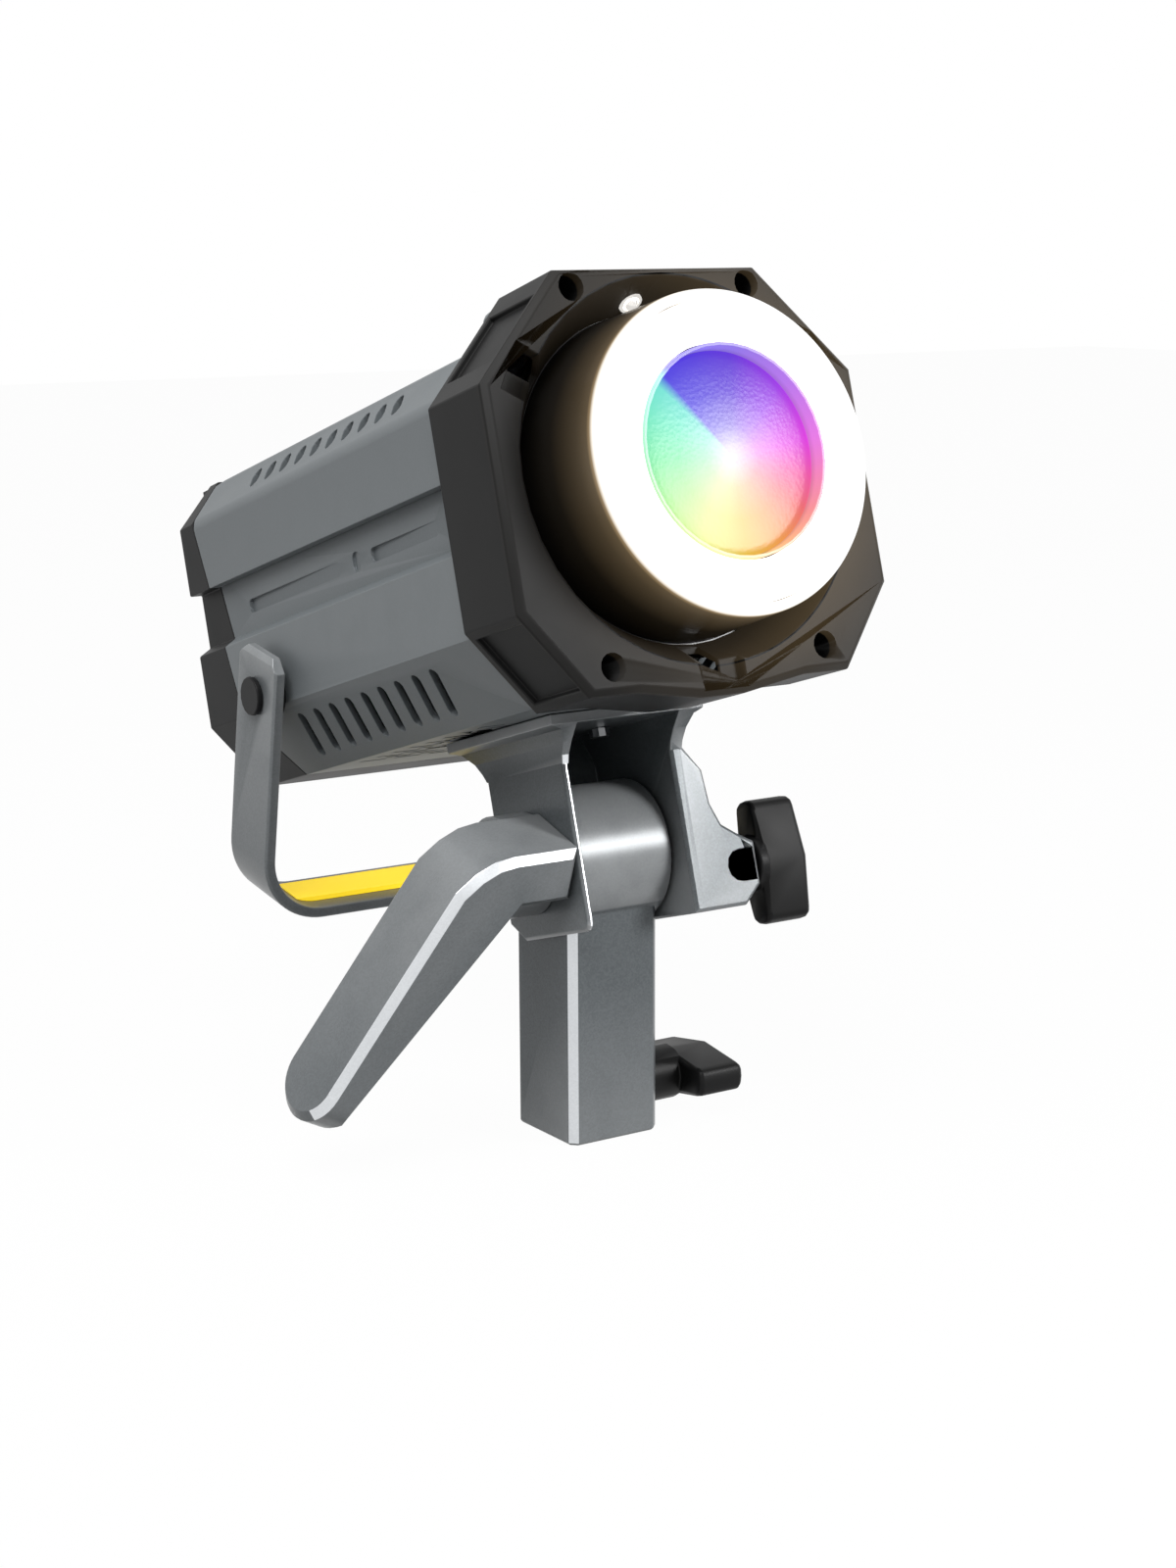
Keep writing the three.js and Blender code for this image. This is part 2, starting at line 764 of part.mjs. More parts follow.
// Tilt lever: a thick cranked tongue on a round hub, on the left ear
const leverFrom = leftEarOut + seatGap;
const boltEnd = leverFrom + leverHubLength;

function leverOutline() {
  const shape = new THREE.Shape();
  shape.moveTo(-leverFrom, 0);
  shape.lineTo(-leverFrom, leverTop);
  shape.lineTo(-leverFlat, leverTop);
  shape.quadraticCurveTo(-(leverFlat + leverShoulder) / 2, leverTop, -leverShoulder, leverShoulderHeight);
  shape.lineTo(-leverTip, -leverTipDrop);
  shape.lineTo(-leverUnderTip, -leverUnderTipDrop);
  shape.lineTo(-leverUnderRoot, 0);
  return shape;
}

// The arm's end is a half circle in plan, square to the arm and bevelled at its outer face
function leverPlan() {
  const tipRadius = (leverBack + leverFront) / 2;
  const reach = leverTip + leverTipDrop;
  const slope = Math.atan2(leverTip - leverShoulder, leverTipDrop + leverShoulderHeight);
  const plan = joined(
    rodX(tipRadius - leverBevel - overrun, [-overrun, leverBevel], 0, 0, wideFacets, tipRadius),
    rodX(tipRadius, [leverBevel, reach], 0, 0, wideFacets),
    block([-overrun, reach], [-leverFront, leverFront], [0, reach]),
  );
  const across = -leverTip + tipRadius * Math.sin(slope);
  const up = -leverTipDrop + tipRadius * Math.cos(slope);
  return turnedBy(plan, placed(across, (leverBack - leverFront) / 2, up, 0, slope));
}

function tiltLever() {
  const tongue = drawnY(leverOutline(), [-leverFront, leverBack], leverBevel);
  const hub = rodX(leverHubRadius, [-boltEnd, -leverFrom], 0, 0, wideFacets);
  return cut(joined(tongue.intersect(leverPlan()), hub), rodX(boltBore, [-boltEnd + overrun, 0]));
}
place('tilt_lever', tiltLever(), 'castGrey', leverFrame);

// Tilt bolt through lever, ears and barrel, with its nut keyed into the right ear
const nutFrom = rightEarOut - earThickness + seatGap;
const nutEnd = nutFrom + tiltNutLength;
const tiltBolt = rodX(tiltBoltRadius, [-boltEnd + overrun + seatGap, nutEnd], 0, 0, screwFacets);
place('tilt_bolt', tiltBolt, 'steel', pivotFrame);
const tiltNut = cut(
  rodX(tiltNutRadius, [nutFrom, nutEnd], 0, 0, hexSides),
  rodX(boltBore, [nutFrom - overrun, nutEnd + overrun]),
);
place('tilt_nut', tiltNut, 'steel', pivotFrame);

// A closed outline drawn in by a wall's thickness
function inset(points, distance) {
  const count = points.length;
  const normal = (i) => {
    const [x0, z0] = points[i % count];
    const [x1, z1] = points[(i + 1) % count];
    const length = Math.hypot(x1 - x0, z1 - z0);
    return [(z0 - z1) / length, (x1 - x0) / length];
  };
  return points.map(([x, z], i) => {
    const [before, after] = [normal(i + count - 1), normal(i)];
    const spread = 1 + before[0] * after[0] + before[1] * after[1];
    return [x + distance * (before[0] + after[0]) / spread, z + distance * (before[1] + after[1]) / spread];
  });
}

// A left-right symmetric outline from the corners of its right half, which run from bottom to top
const mirrored = (half) => [...half, ...half.map(([x, z]) => [-x, z]).reverse()];

// Front bezel: an eight-sided box, open behind, with the funnel of the bayonet in its front
const bezelOutline = mirrored([
  [bezelChinHalf, -bezelChin], [bezelChinStart, -bezelBottom], [bezelBottomCorner, -bezelBottom],
  [bezelHalfWidth, -bezelHip], [bezelHalfWidth, bezelShoulder], [bezelTopCorner, bezelTop],
]);
const bezelScrewPlaces = [
  [-upperScrewX, upperScrewZ], [upperScrewX, upperScrewZ],
  [-lowerScrewX, -lowerScrewZ], [lowerScrewX, -lowerScrewZ],
];
const wellFloor = bezelDepth - screwFloor;

// Shallow pockets in the four corner faces
function bezelPockets() {
  const corners = [
    [[bezelTopCorner, bezelTop], [bezelHalfWidth, bezelShoulder]],
    [[bezelHalfWidth, -bezelHip], [bezelBottomCorner, -bezelBottom]],
  ];
  return corners.flatMap(([[x0, z0], [x1, z1]]) => {
    const [x, z] = [(x0 + x1) / 2, (z0 + z1) / 2];
    const face = Math.hypot(x1 - x0, z1 - z0);
    const length = Math.min(pocketLength, face - 2 * pocketMargin);
    const turn = Math.atan2(z0 - z1, x1 - x0);
    const pocket = block(
      [-length / 2, length / 2], [pocketMargin, bezelDepth - pocketMargin],
      [-pocketDepth, pocketDepth + overrun]);
    return bothSides(turnedBy(pocket, placed(x, 0, z, 0, turn)));
  });
}

// Bayonet notches at the bottom and the two upper sides, each with a deeper slot in one half
function bezelNotches() {
  const reach = [ringRadius, notchRadius];
  const half = notchWidth / 2;
  const notch = joined(
    block([-half, half], [-overrun, notchDepth], [-reach[1], -reach[0]]),
    block([-half, -half + notchSlotWidth], [-overrun, funnelDepth - funnelWall], [-reach[1], -reach[0]]),
  );
  return [-notchClock, 0, notchClock].map((clock) => turnedBy(notch, placed(0, 0, 0, 0, clock)));
}

// The lock ball's line: square to the funnel's face, from the face inwards
const funnelRun = new THREE.Vector2(openingRadius - ringRadius, funnelDepth).normalize();
const ballClock = Math.atan2(-ballAcross, ballRise);
const ballLine = placed(0, ballDepth, 0, 0, ballClock)
  .multiply(placed(0, 0, Math.hypot(ballAcross, ballRise), -Math.atan2(funnelRun.x, funnelRun.y)));
const sleeveOuter = ballSleeveRadius + seatGap;
const sleeveFront = ballRadius;

function frontBezel() {
  const outer = drawnY(outlineOf(bezelOutline), [0, bezelDepth + bezelBevel], bezelBevel)
    .intersect(block([-bezelHalfWidth, bezelHalfWidth], [0, bezelDepth], [-bezelChin, bezelTop]));
  const hollow = drawnY(outlineOf(inset(bezelOutline, bezelWall)), [bezelFrontWall, bezelDepth + overrun]);
  const slope = (openingRadius - ringRadius) / funnelDepth;
  const mouth = openingRadius + overrun * slope;
  const opening = rodY(mouth, [-overrun, funnelDepth], 0, 0, wideFacets, ringRadius);
  const behind = rodY(ringRadius, [0, bezelDepth], 0, 0, wideFacets);
  const funnel = rodY(
    openingRadius + funnelWall, [0, funnelDepth], 0, 0, wideFacets, ringRadius + funnelWall);
  const wells = bezelScrewPlaces.map(([x, z]) => rodY(screwPost, [0, bezelDepth], x, z));
  const ballBoss = turnedBy(
    rodZ(sleeveOuter + ballBossWall, [0, ballSleeveLength + ballBossWall]), ballLine);
  const shell = cut(outer, hollow);
  const inner = joined(funnel, ballBoss, ...wells).intersect(outer);
  const wellBores = bezelScrewPlaces.flatMap(([x, z]) => [
    rodY(screwWell, [-overrun, wellFloor], x, z),
    rodY(caseScrewRadius + seatGap, [0, bezelDepth + overrun], x, z, screwFacets),
  ]);
  const ballBore = turnedBy(rodZ(sleeveOuter, [-sleeveFront - overrun, ballSleeveLength]), ballLine);
  return cut(
    joined(shell, inner), opening, behind, ...wellBores, ballBore, ...bezelNotches(), ...bezelPockets());
}
place('front_bezel', frontBezel(), 'black', headFrame);

// Sprung ball of the bayonet lock, in its sleeve
const sleeveBore = ballSleeveRadius - ballSleeveWall;
const ballAt = ballSleeveRadius - ballSleeveWall - ballRadius + seatGap;
const ballShape = new THREE.SphereGeometry(ballRadius, screwFacets, screwFacets / 2);
place('lock_ball', turnedBy(solid(ballShape, placed(0, 0, ballAt)), ballLine), 'chrome', headFrame);
const sleeve = cut(
  rodZ(ballSleeveRadius, [0, ballSleeveLength - seatGap]),
  rodZ(sleeveBore, [-overrun, ballSleeveLength - ballSleeveWall]),
);
place('lock_ball_sleeve', turnedBy(sleeve, ballLine), 'steel', headFrame);

class SpringPath extends THREE.Curve {
  constructor(radius, from, length, turns) {
    super();
    Object.assign(this, { radius, from, length, turns });
  }

  getPoint(t, target = new THREE.Vector3()) {
    const angle = 2 * Math.PI * this.turns * t;
    return target.set(
      this.radius * Math.cos(angle), this.radius * Math.sin(angle), this.from + this.length * t);
  }
}

function lockSpring() {
  const wire = springWire / 2;
  const front = ballAt + ballRadius + seatGap + ballTravel + wire;
  const back = ballSleeveLength - ballSleeveWall - seatGap - wire;
  const path = new SpringPath(sleeveBore - wire - seatGap, front, back - front, springTurns);
  const section = outlineOf(Array.from({ length: wireSides }, (_, i) => {
    const angle = (i / wireSides) * 2 * Math.PI;
    return [wire * Math.cos(angle), wire * Math.sin(angle)];
  }));
  return solid(new THREE.ExtrudeGeometry(section, { extrudePath: path, steps: springSteps * springTurns }));
}
place('lock_ball_spring', turnedBy(lockSpring(), ballLine), 'steel', headFrame);

// Screws in the bezel's wells, into the case's posts
function caseScrew(x, z, headFrom, along) {
  const [headEnd, tip] = [headFrom + along * caseScrewHeadLength, headFrom + along * caseScrewLength];
  const span = (a, b) => [Math.min(a, b), Math.max(a, b)];
  return joined(
    rodY(caseScrewHead, span(headFrom, headEnd), x, z, screwFacets),
    rodY(caseScrewRadius, span(headFrom, tip), x, z, screwFacets),
  );
}
const bezelHeadFrom = wellFloor - seatGap - caseScrewHeadLength;
bezelScrewPlaces.forEach(([x, z], i) =>
  place(`bezel_screw_${i + 1}`, caseScrew(x, z, bezelHeadFrom, 1), 'steel', headFrame));

// Collar round the light source: a shallow cone with a rounded lip and a flange behind the funnel
const collarBack = funnelDepth + seatGap + collarFlangeThickness;
const collarRing = ringRadius - seatGap;
const collarInner = collarFrontRadius - collarWall;
const lipInner = glowOuter + seatGap;
const glowBack = -collarFront + glowThickness;
const spreaderFront = engineFace + cobThickness + seatGap;
const sinkFront = spreaderFront + spreaderThickness + seatGap;

function collar() {
  const arc = [];
  const steps = 3;
  for (let i = 0; i <= steps; i += 1) {
    const turn = (i / steps) * (Math.PI / 2);
    arc.push([
      collarFrontRadius - collarFillet + collarFillet * Math.sin(turn),
      -collarFront + collarFillet - collarFillet * Math.cos(turn),
    ]);
  }
  const body = turned([
    ...arc,
    [collarRing, funnelDepth], [collarRing, funnelDepth + seatGap],
    [collarFlange, funnelDepth + seatGap], [collarFlange, collarBack], [collarInner, collarBack],
    [collarInner, glowBack + seatGap + collarWall],
    [lipInner - collarWall, glowBack + seatGap + collarWall], [lipInner - collarWall, glowBack + seatGap],
    [lipInner, glowBack + seatGap],
  ]);
  const bossRoom = turnedBy(
    rodZ(sleeveOuter + ballBossWall + seatGap, [0, ballSleeveLength + ballBossWall + seatGap]), ballLine);
  return cut(body, bossRoom);
}
place('collar', collar(), 'satinBlack', headFrame);

// Glowing ring between the collar's lip and the lens barrel
const glowInner = lensBarrelRadius + seatGap;
place('glow_ring', turned([
  [glowInner, -collarFront], [glowOuter, -collarFront], [glowOuter, glowBack], [glowInner, glowBack],
]), 'white', headFrame);

// Lens barrel with a seat for the lens, and a web that holds it in the collar
const barrelInner = lensBarrelRadius - lensBarrelWall;
const barrelBack = -collarFront + lensBarrelLength;
const lensFront = -collarFront + lensSink;
const lensBack = lensFront + lensThickness;
const seatFrom = lensBack + seatGap;
const webEdge = collarInner - seatGap;
place('lens_barrel', turned([
  [barrelInner, -collarFront], [lensBarrelRadius, -collarFront],
  [lensBarrelRadius, barrelWebBack - barrelWebThickness], [webEdge, barrelWebBack - barrelWebThickness],
  [webEdge, barrelWebBack], [lensBarrelRadius, barrelWebBack], [lensBarrelRadius, barrelBack],
  [barrelInner, barrelBack], [barrelInner, seatFrom + lensSeat],
  [barrelInner - lensSeat, seatFrom + lensSeat], [barrelInner - lensSeat, seatFrom],
  [barrelInner, seatFrom],
]), 'satinBlack', headFrame);
place('front_lens', rodY(barrelInner - seatGap, [lensFront, lensBack], 0, 0, wideFacets), 'lens', headFrame);

// Reflector cone from the light source to the barrel's back
const reflectorFront = barrelBack + seatGap;
const reflectorBack = engineFace - seatGap;
const mouth = barrelInner - lensSeat;
const rimBack = reflectorFront + reflectorRim;
place('reflector', turned([
  [mouth, reflectorFront], [lensBarrelRadius, reflectorFront], [lensBarrelRadius, rimBack],
  [mouth + reflectorWall, rimBack], [reflectorThroat + reflectorWall, reflectorBack],
  [reflectorThroat, reflectorBack],
], roundFacets), 'chrome', headFrame);

// Light source: its plate, the phosphor disc on it, the clamp frame and the heat spreader
const cobHalf = cobSize / 2;
const phosphorBack = engineFace - seatGap;
place('phosphor_disc',
  rodY(phosphorRadius, [phosphorBack - phosphorThickness, phosphorBack]), 'phosphor', headFrame);
const cobBack = engineFace + cobThickness;
const cobPlate = block([-cobHalf, cobHalf], [engineFace, cobBack], [-cobHalf, cobHalf]);
place('cob_plate', cobPlate, 'aluminium', headFrame);

function cobClamp() {
  const half = cobClampSize / 2;
  const back = spreaderFront - seatGap;
  const front = back - cobClampThickness;
  const pocket = cobHalf + seatGap;
  const throat = reflectorThroat + reflectorWall + cobClampLip;
  return cut(
    block([-half, half], [front, back], [-half, half]),
    block([-pocket, pocket], [engineFace - seatGap, back + overrun], [-pocket, pocket]),
    rodY(throat, [front - overrun, back], 0, 0),
  );
}
place('cob_clamp', cobClamp(), 'satinBlack', headFrame);
const spreaderHalf = spreaderSize / 2;
const spreaderBack = spreaderFront + spreaderThickness;
place('heat_spreader', block(
  [-spreaderHalf, spreaderHalf], [spreaderFront, spreaderBack], [-spreaderHalf, spreaderHalf],
), 'copper', headFrame);

// Finned heat sink, with four posts forward to the collar's flange
const sinkHalf = sinkSize / 2;
const finFrom = sinkFront + sinkBase;
const sinkBack = finFrom + sinkLength;
const fins = Array.from({ length: finCount }, (_, i) => {
  const x = -sinkHalf + (sinkSize - finThickness) * (i / (finCount - 1));
  return block([x, x + finThickness], [sinkFront, sinkBack], [-sinkHalf, sinkHalf]);
});
const enginePosts = [-enginePostAcross, enginePostAcross].flatMap((x) => [-enginePostAcross, enginePostAcross]
  .map((z) => rodY(enginePostRadius, [collarBack + seatGap, finFrom], x, z)));
const sink = joined(
  block([-sinkHalf, sinkHalf], [sinkFront, finFrom], [-sinkHalf, sinkHalf]), ...fins, ...enginePosts);
place('heat_sink', sink, 'aluminium', headFrame);

// Fan behind the fins: a square frame with a spoked plate and a spindle, and the bladed rotor
const fanFrom = sinkBack + seatGap;
const fanEnd = fanFrom + fanDepth;
const fanPlateFrom = fanEnd - fanPlate;
const fanHalf = fanSize / 2;

function fanFrame() {
  const spokeReach = fanBore + (fanHalf - fanBore) / 2;
  const spokes = [0, 1].map((i) => turnedBy(
    block([-spokeReach, spokeReach], [fanPlateFrom, fanEnd], [-fanSpoke / 2, fanSpoke / 2]),
    placed(0, 0, 0, 0, Math.PI / 4 + i * Math.PI / 2)));
  const square = cut(
    block([-fanHalf, fanHalf], [fanFrom, fanEnd], [-fanHalf, fanHalf]),
    rodY(fanBore, [fanFrom - overrun, fanEnd + overrun], 0, 0, wideFacets),
  );
  const half = fanScrewSpacing / 2;
  const holes = [-half, half].flatMap((x) => [-half, half]
    .map((z) => rodY(caseScrewRadius, [fanFrom - overrun, fanEnd + overrun], x, z, screwFacets)));
  const bearing = rodY(fanHub, [fanPlateFrom, fanEnd]);
  const spindle = rodY(fanSpindle, [fanFrom + fanPlate, fanEnd], 0, 0, screwFacets);
  return cut(joined(square, ...spokes, bearing, spindle), ...holes);
}
place('fan_frame', fanFrame(), 'satinBlack', headFrame);

function fanRotor() {
  const back = fanPlateFrom - runningGap;
  const front = fanFrom + runningGap;
  const hub = rodY(fanHub, [front, back]);
  const middle = (front + back) / 2;
  const pitch = Math.atan2(fanBladeRise, 2 * Math.PI * fanTip / fanBlades / 2);
  const chord = fanBladeRise / Math.sin(pitch) * fanChordShare;
  const blades = Array.from({ length: fanBlades }, (_, i) => {
    const blade = new THREE.BoxGeometry(fanTip - fanHub / 2, fanBladeThickness, chord);
    const tilted = solid(blade, placed((fanTip + fanHub / 2) / 2, middle, 0, pitch));
    return turnedBy(tilted, placed(0, 0, 0, 0, (i / fanBlades) * 2 * Math.PI));
  });
  const swept = rodY(fanTip, [front, back], 0, 0, wideFacets);
  return cut(
    joined(hub, ...blades).intersect(swept),
    rodY(fanSpindle + runningGap, [front + fanBladeThickness, back + overrun], 0, 0, roundFacets),
  );
}
place('fan_rotor', fanRotor(), 'black', headFrame);

// Case outline: eight sides with a groove along each flank, which the lower shell's walls form
const lowerHalf = (top) => [
  [caseBottomCorner, -caseBottom], [caseHalfWidth, -caseHip], [caseHalfWidth, -grooveLedge],
  [caseHalfWidth - grooveDepth, -grooveBottom], [caseHalfWidth - grooveDepth, top],
];
const upperHalf = [
  [caseHalfWidth, caseLip], [caseHalfWidth, caseShoulder], [caseTopCorner, caseTop],
];
const caseFront = bezelDepth + seatGap;
const caseRearAt = (z) => caseRearAtAxis + caseRearSlope * z;

// Everything behind the slanted joint between the shells and the rear cap
function behindJoint(gap) {
  const [top, bottom] = [bezelChin, -bezelChin];
  const beyond = rearFace + overrun * 2;
  const side = outlineOf([
    [caseRearAt(bottom) + gap, bottom], [beyond, bottom], [beyond, top], [caseRearAt(top) + gap, top],
  ]);
  return drawnX(side, [-bezelHalfWidth, bezelHalfWidth]);
}

// A slot through a slanting wall, between the middles of its two round ends
function slotThrough(from, to, depth, width) {
  const along = new THREE.Vector3().subVectors(to, from);
  const length = along.length();
  const u = along.clone().normalize();
  const fore = new THREE.Vector3(0, 1, 0);
  const n = new THREE.Vector3().crossVectors(fore, u).normalize();
  const v = new THREE.Vector3().crossVectors(n, u);
  const r = width / 2;
  const shape = new THREE.Shape();
  shape.absarc(0, 0, r, Math.PI / 2, 1.5 * Math.PI);
  shape.absarc(length, 0, r, -Math.PI / 2, Math.PI / 2);
  const bar = new THREE.ExtrudeGeometry(shape, { depth: 2 * depth, bevelEnabled: false, curveSegments: 2 });
  const basis = new THREE.Matrix4().makeBasis(u, v, new THREE.Vector3().crossVectors(u, v));
  const start = from.clone().addScaledVector(new THREE.Vector3().crossVectors(u, v), -depth);
  return solid(bar, new THREE.Matrix4().setPosition(start).multiply(basis));
}

// A row of slots along one slanting face of the case, from the face's two corners
function ventRow([x0, z0], [x1, z1], count, first, pitch, length, slant, width) {
  const [x, z] = [(x0 + x1) / 2, (z0 + z1) / 2];
  const face = Math.hypot(x1 - x0, z1 - z0);
  const share = length / face / 2;
  const [dx, dz] = [(x1 - x0) * share, (z1 - z0) * share];
  return Array.from({ length: count }, (_, i) => {
    const y = first + i * pitch;
    const from = new THREE.Vector3(x - dx, y - slant / 2, z - dz);
    const to = new THREE.Vector3(x + dx, y + slant / 2, z + dz);
    return slotThrough(from, to, caseWall * 2, width);
  }).flatMap(bothSides);
}

const postAt = (x, z, from, to, radius) => rodY(radius, [from, to], x, z);
const frontPostEnd = caseFront + caseScrewLength;
const frontPostBore = (x, z) =>
  rodY(caseScrewRadius + seatGap, [caseFront - overrun, frontPostEnd - overrun], x, z, screwFacets);
const rearPostLength = caseScrewLength;
const rearUpperPlaces = [[-rearUpperScrewX, rearUpperScrewZ], [rearUpperScrewX, rearUpperScrewZ]];
const rearLowerPlaces = [[-rearLowerScrewX, -rearLowerScrewZ], [rearLowerScrewX, -rearLowerScrewZ]];
const rearPostRadius = caseScrewHead + seatGap + ballBossWall;

// The posts of a shell for the screws of the bezel and the rear cap, trimmed to the shell's outside
function shellPosts(front, rear, limits) {
  const fronts = front.map(([x, z]) => postAt(x, z, caseFront, frontPostEnd, screwPost));
  const rears = rear.map(([x, z]) =>
    postAt(x, z, caseRearAt(z) - rearPostLength, rearFace, rearPostRadius));
  return joined(...fronts, ...rears).intersect(limits);
}

function shellBores(front, rear) {
  return [
    ...front.map(([x, z]) => frontPostBore(x, z)),
    ...rear.map(([x, z]) => {
      const from = caseRearAt(z) - rearPostLength + overrun;
      return rodY(caseScrewRadius + seatGap, [from, rearFace], x, z, screwFacets);
    }),
  ];
}

// The upper shell is lower than the bezel: a flange behind the bezel carries the bosses of its upper screws
function upperShell() {
  const outline = mirrored(upperHalf);
  const limits = cut(drawnY(outlineOf(outline), [caseFront, rearFace]), behindJoint(0));
  const roof = inset(mirrored([[caseHalfWidth, caseLip], ...upperHalf.slice(1)]), caseWall);
  const lipInner = caseHalfWidth - grooveDepth + seatGap;
  const hollow = joined(
    drawnY(outlineOf(roof), [caseFront - overrun, rearFace]),
    block([-lipInner, lipInner], [caseFront - overrun, rearFace], [0, caseLip + caseWall + seatGap]),
  );
  const vents = ventRow(
    [caseTopCorner, caseTop], [caseHalfWidth, caseShoulder],
    upperVentCount, upperVentFirst, upperVentPitch, upperVentLength, -upperVentSlant, upperVentWidth);
  const posts = shellPosts([], rearUpperPlaces, limits);
  const rise = [caseTop - caseWall / 2, bezelTop];
  const flange = drawnY(outlineOf(inset(bezelOutline, flangeInset)), [caseFront, caseFront + flangeThickness])
    .intersect(block([-bezelHalfWidth, bezelHalfWidth], [caseFront, caseFront + flangeThickness], rise));
  const bossEnd = caseFront + upperBossLength;
  const bosses = bezelScrewPlaces.slice(0, 2).flatMap(([x, z]) => [
    rodY(upperBossRadius, [caseFront, bossEnd], x, z),
    block([x - flangeRib / 2, x + flangeRib / 2], [caseFront, bossEnd], [rise[0], z]),
  ]);
  const bossBores = bezelScrewPlaces.slice(0, 2).map(([x, z]) => rodY(
    caseScrewRadius + seatGap, [caseFront - overrun, bossEnd - overrun], x, z, screwFacets));
  return cut(
    joined(cut(limits, hollow), posts, flange, ...bosses),
    ...shellBores([], rearUpperPlaces), ...bossBores, ...vents);
}
place('upper_shell', upperShell(), 'caseGrey', headFrame);

// Pressings in the groove: each is deepest at its rounded rear end, and its floor rises forward to nothing
function groovePressings() {
  const wall = caseHalfWidth - grooveDepth;
  const pressing = (front, rear, width, corner) => {
    const ramp = new THREE.Shape([
      new THREE.Vector2(wall, front),
      new THREE.Vector2(wall + overrun, front),
      new THREE.Vector2(wall + overrun, rear),
      new THREE.Vector2(wall - pressDepth, rear),
    ]);
    const outline = roundedRectangle(rear - front, width, corner, (front + rear) / 2, -pressRise);
    return drawnZ(ramp, [-pressRise - width / 2, -pressRise + width / 2])
      .intersect(drawnX(outline, [wall - pressDepth - overrun, wall + 2 * overrun]));
  };
  return [
    pressing(longPressFront, longPressRear, pressWidth, pressCorner),
    pressing(ovalPressFront, ovalPressRear, ovalPressWidth, ovalPressCorner),
    pressing(shortPressFront, shortPressRear, pressWidth, pressCorner),
  ].flatMap(bothSides);
}

// Slots in the floor in a brick pattern, beside the saddle and behind it
function floorGrille() {
  const slots = [];
  const saddleEnd = pivotBehindFront + saddleBack + grilleMargin;
  for (let row = 0; row < grilleRows; row += 1) {
    const shift = row % 2 ? grilleColumnPitch / 4 : -grilleColumnPitch / 4;
    const y = grilleStart + row * grilleRowPitch;
    for (let column = 0; column < grilleColumns; column += 1) {
      const x = (column - (grilleColumns - 1) / 2) * grilleColumnPitch + shift;
      const inward = Math.abs(x) - grilleSlotLength / 2;
      if (y < saddleEnd && inward < saddleHalfWidth - grilleSlotLength) continue;
      slots.push(block(
        [x - grilleSlotLength / 2, x + grilleSlotLength / 2], [y, y + grilleSlotWidth],
        [-caseBottom - overrun, -caseBottom + caseWall + seatGap]));
    }
  }
  return slots;
}

const driverUnder = -driverDrop - boardThickness;
const driverPostInset = driverPostRadius * 2;
const driverPostPlaces = [-1, 1].flatMap((side) => [
  [side * (driverWidth / 2 - driverPostInset), driverStart + driverPostInset],
  [side * (driverWidth / 2 - driverPostInset), driverStart + driverLength - driverPostInset],
]);
const bailBossIn = caseHalfWidth - bailBossLength;

function lowerShell() {
  const outline = mirrored(lowerHalf(caseLip + caseLap));
  const limits = cut(drawnY(outlineOf(outline), [caseFront, rearFace]), behindJoint(0));
  const inside = inset(mirrored(lowerHalf(caseTop)), caseWall);
  const hollow = drawnY(outlineOf(inside), [caseFront - overrun, rearFace]);
  const vents = ventRow(
    [caseHalfWidth, -caseHip], [caseBottomCorner, -caseBottom],
    lowerVentCount, lowerVentFirst, lowerVentPitch, lowerVentLength, lowerVentSlant, lowerVentWidth);
  const front = bezelScrewPlaces.slice(2);
  const posts = shellPosts(front, rearLowerPlaces, limits);
  const floor = -caseBottom + caseWall / 2;
  const ribs = bothSides(block(
    [sinkRibAcross - sinkRibWall / 2, sinkRibAcross + sinkRibWall / 2], [finFrom, fanEnd],
    [floor, -sinkHalf - seatGap]));
  const boardPosts = driverPostPlaces.map(([x, y]) =>
    rodZ(driverPostRadius, [floor, driverUnder - seatGap], x, y, screwFacets));
  const bushBore = bailBushRadius + seatGap;
  const bushEnd = caseHalfWidth - caseWall / 2;
  const bushes = bothSides(rodX(
    bushBore + bailBossWall, [bailBossIn, bushEnd], bailPivotY, -bailPivotZ).intersect(limits));
  const bushBores = bothSides(joined(
    rodX(bushBore, [bailBossIn + bailBossFloor, caseHalfWidth + overrun], bailPivotY, -bailPivotZ),
    rodX(bailBoltRadius + seatGap, [bailBossIn - overrun, caseHalfWidth], bailPivotY, -bailPivotZ),
  ));
  const saddleBores = saddleScrewPlaces.map(([x, y]) => rodZ(
    caseScrewRadius + seatGap, [-caseBottom - overrun, floor + caseWall + overrun],
    x, y + pivotBehindFront, screwFacets));
  return cut(
    joined(cut(limits, hollow), posts, ...ribs, ...boardPosts, ...bushes),
    ...shellBores(front, rearLowerPlaces), ...bushBores, ...vents, ...floorGrille(), ...saddleBores,
    ...groovePressings(),
  );
}
place('lower_shell', lowerShell(), 'caseGrey', headFrame);

// Rear cap: it carries the case's outline, groove and all, back to a flat panel
const capOutline = mirrored([...lowerHalf(caseLip), ...upperHalf]);
const panelOuter = rearFace - panelSink;
const panelInner = panelOuter - panelThickness;
const panelMiddle = (panelTop - panelBottom) / 2;
const panelHeight = panelTop + panelBottom;
const rearScrewPlaces = [...rearUpperPlaces, ...rearLowerPlaces];
const rearWellFloor = rearFace - rearWall - seatGap;

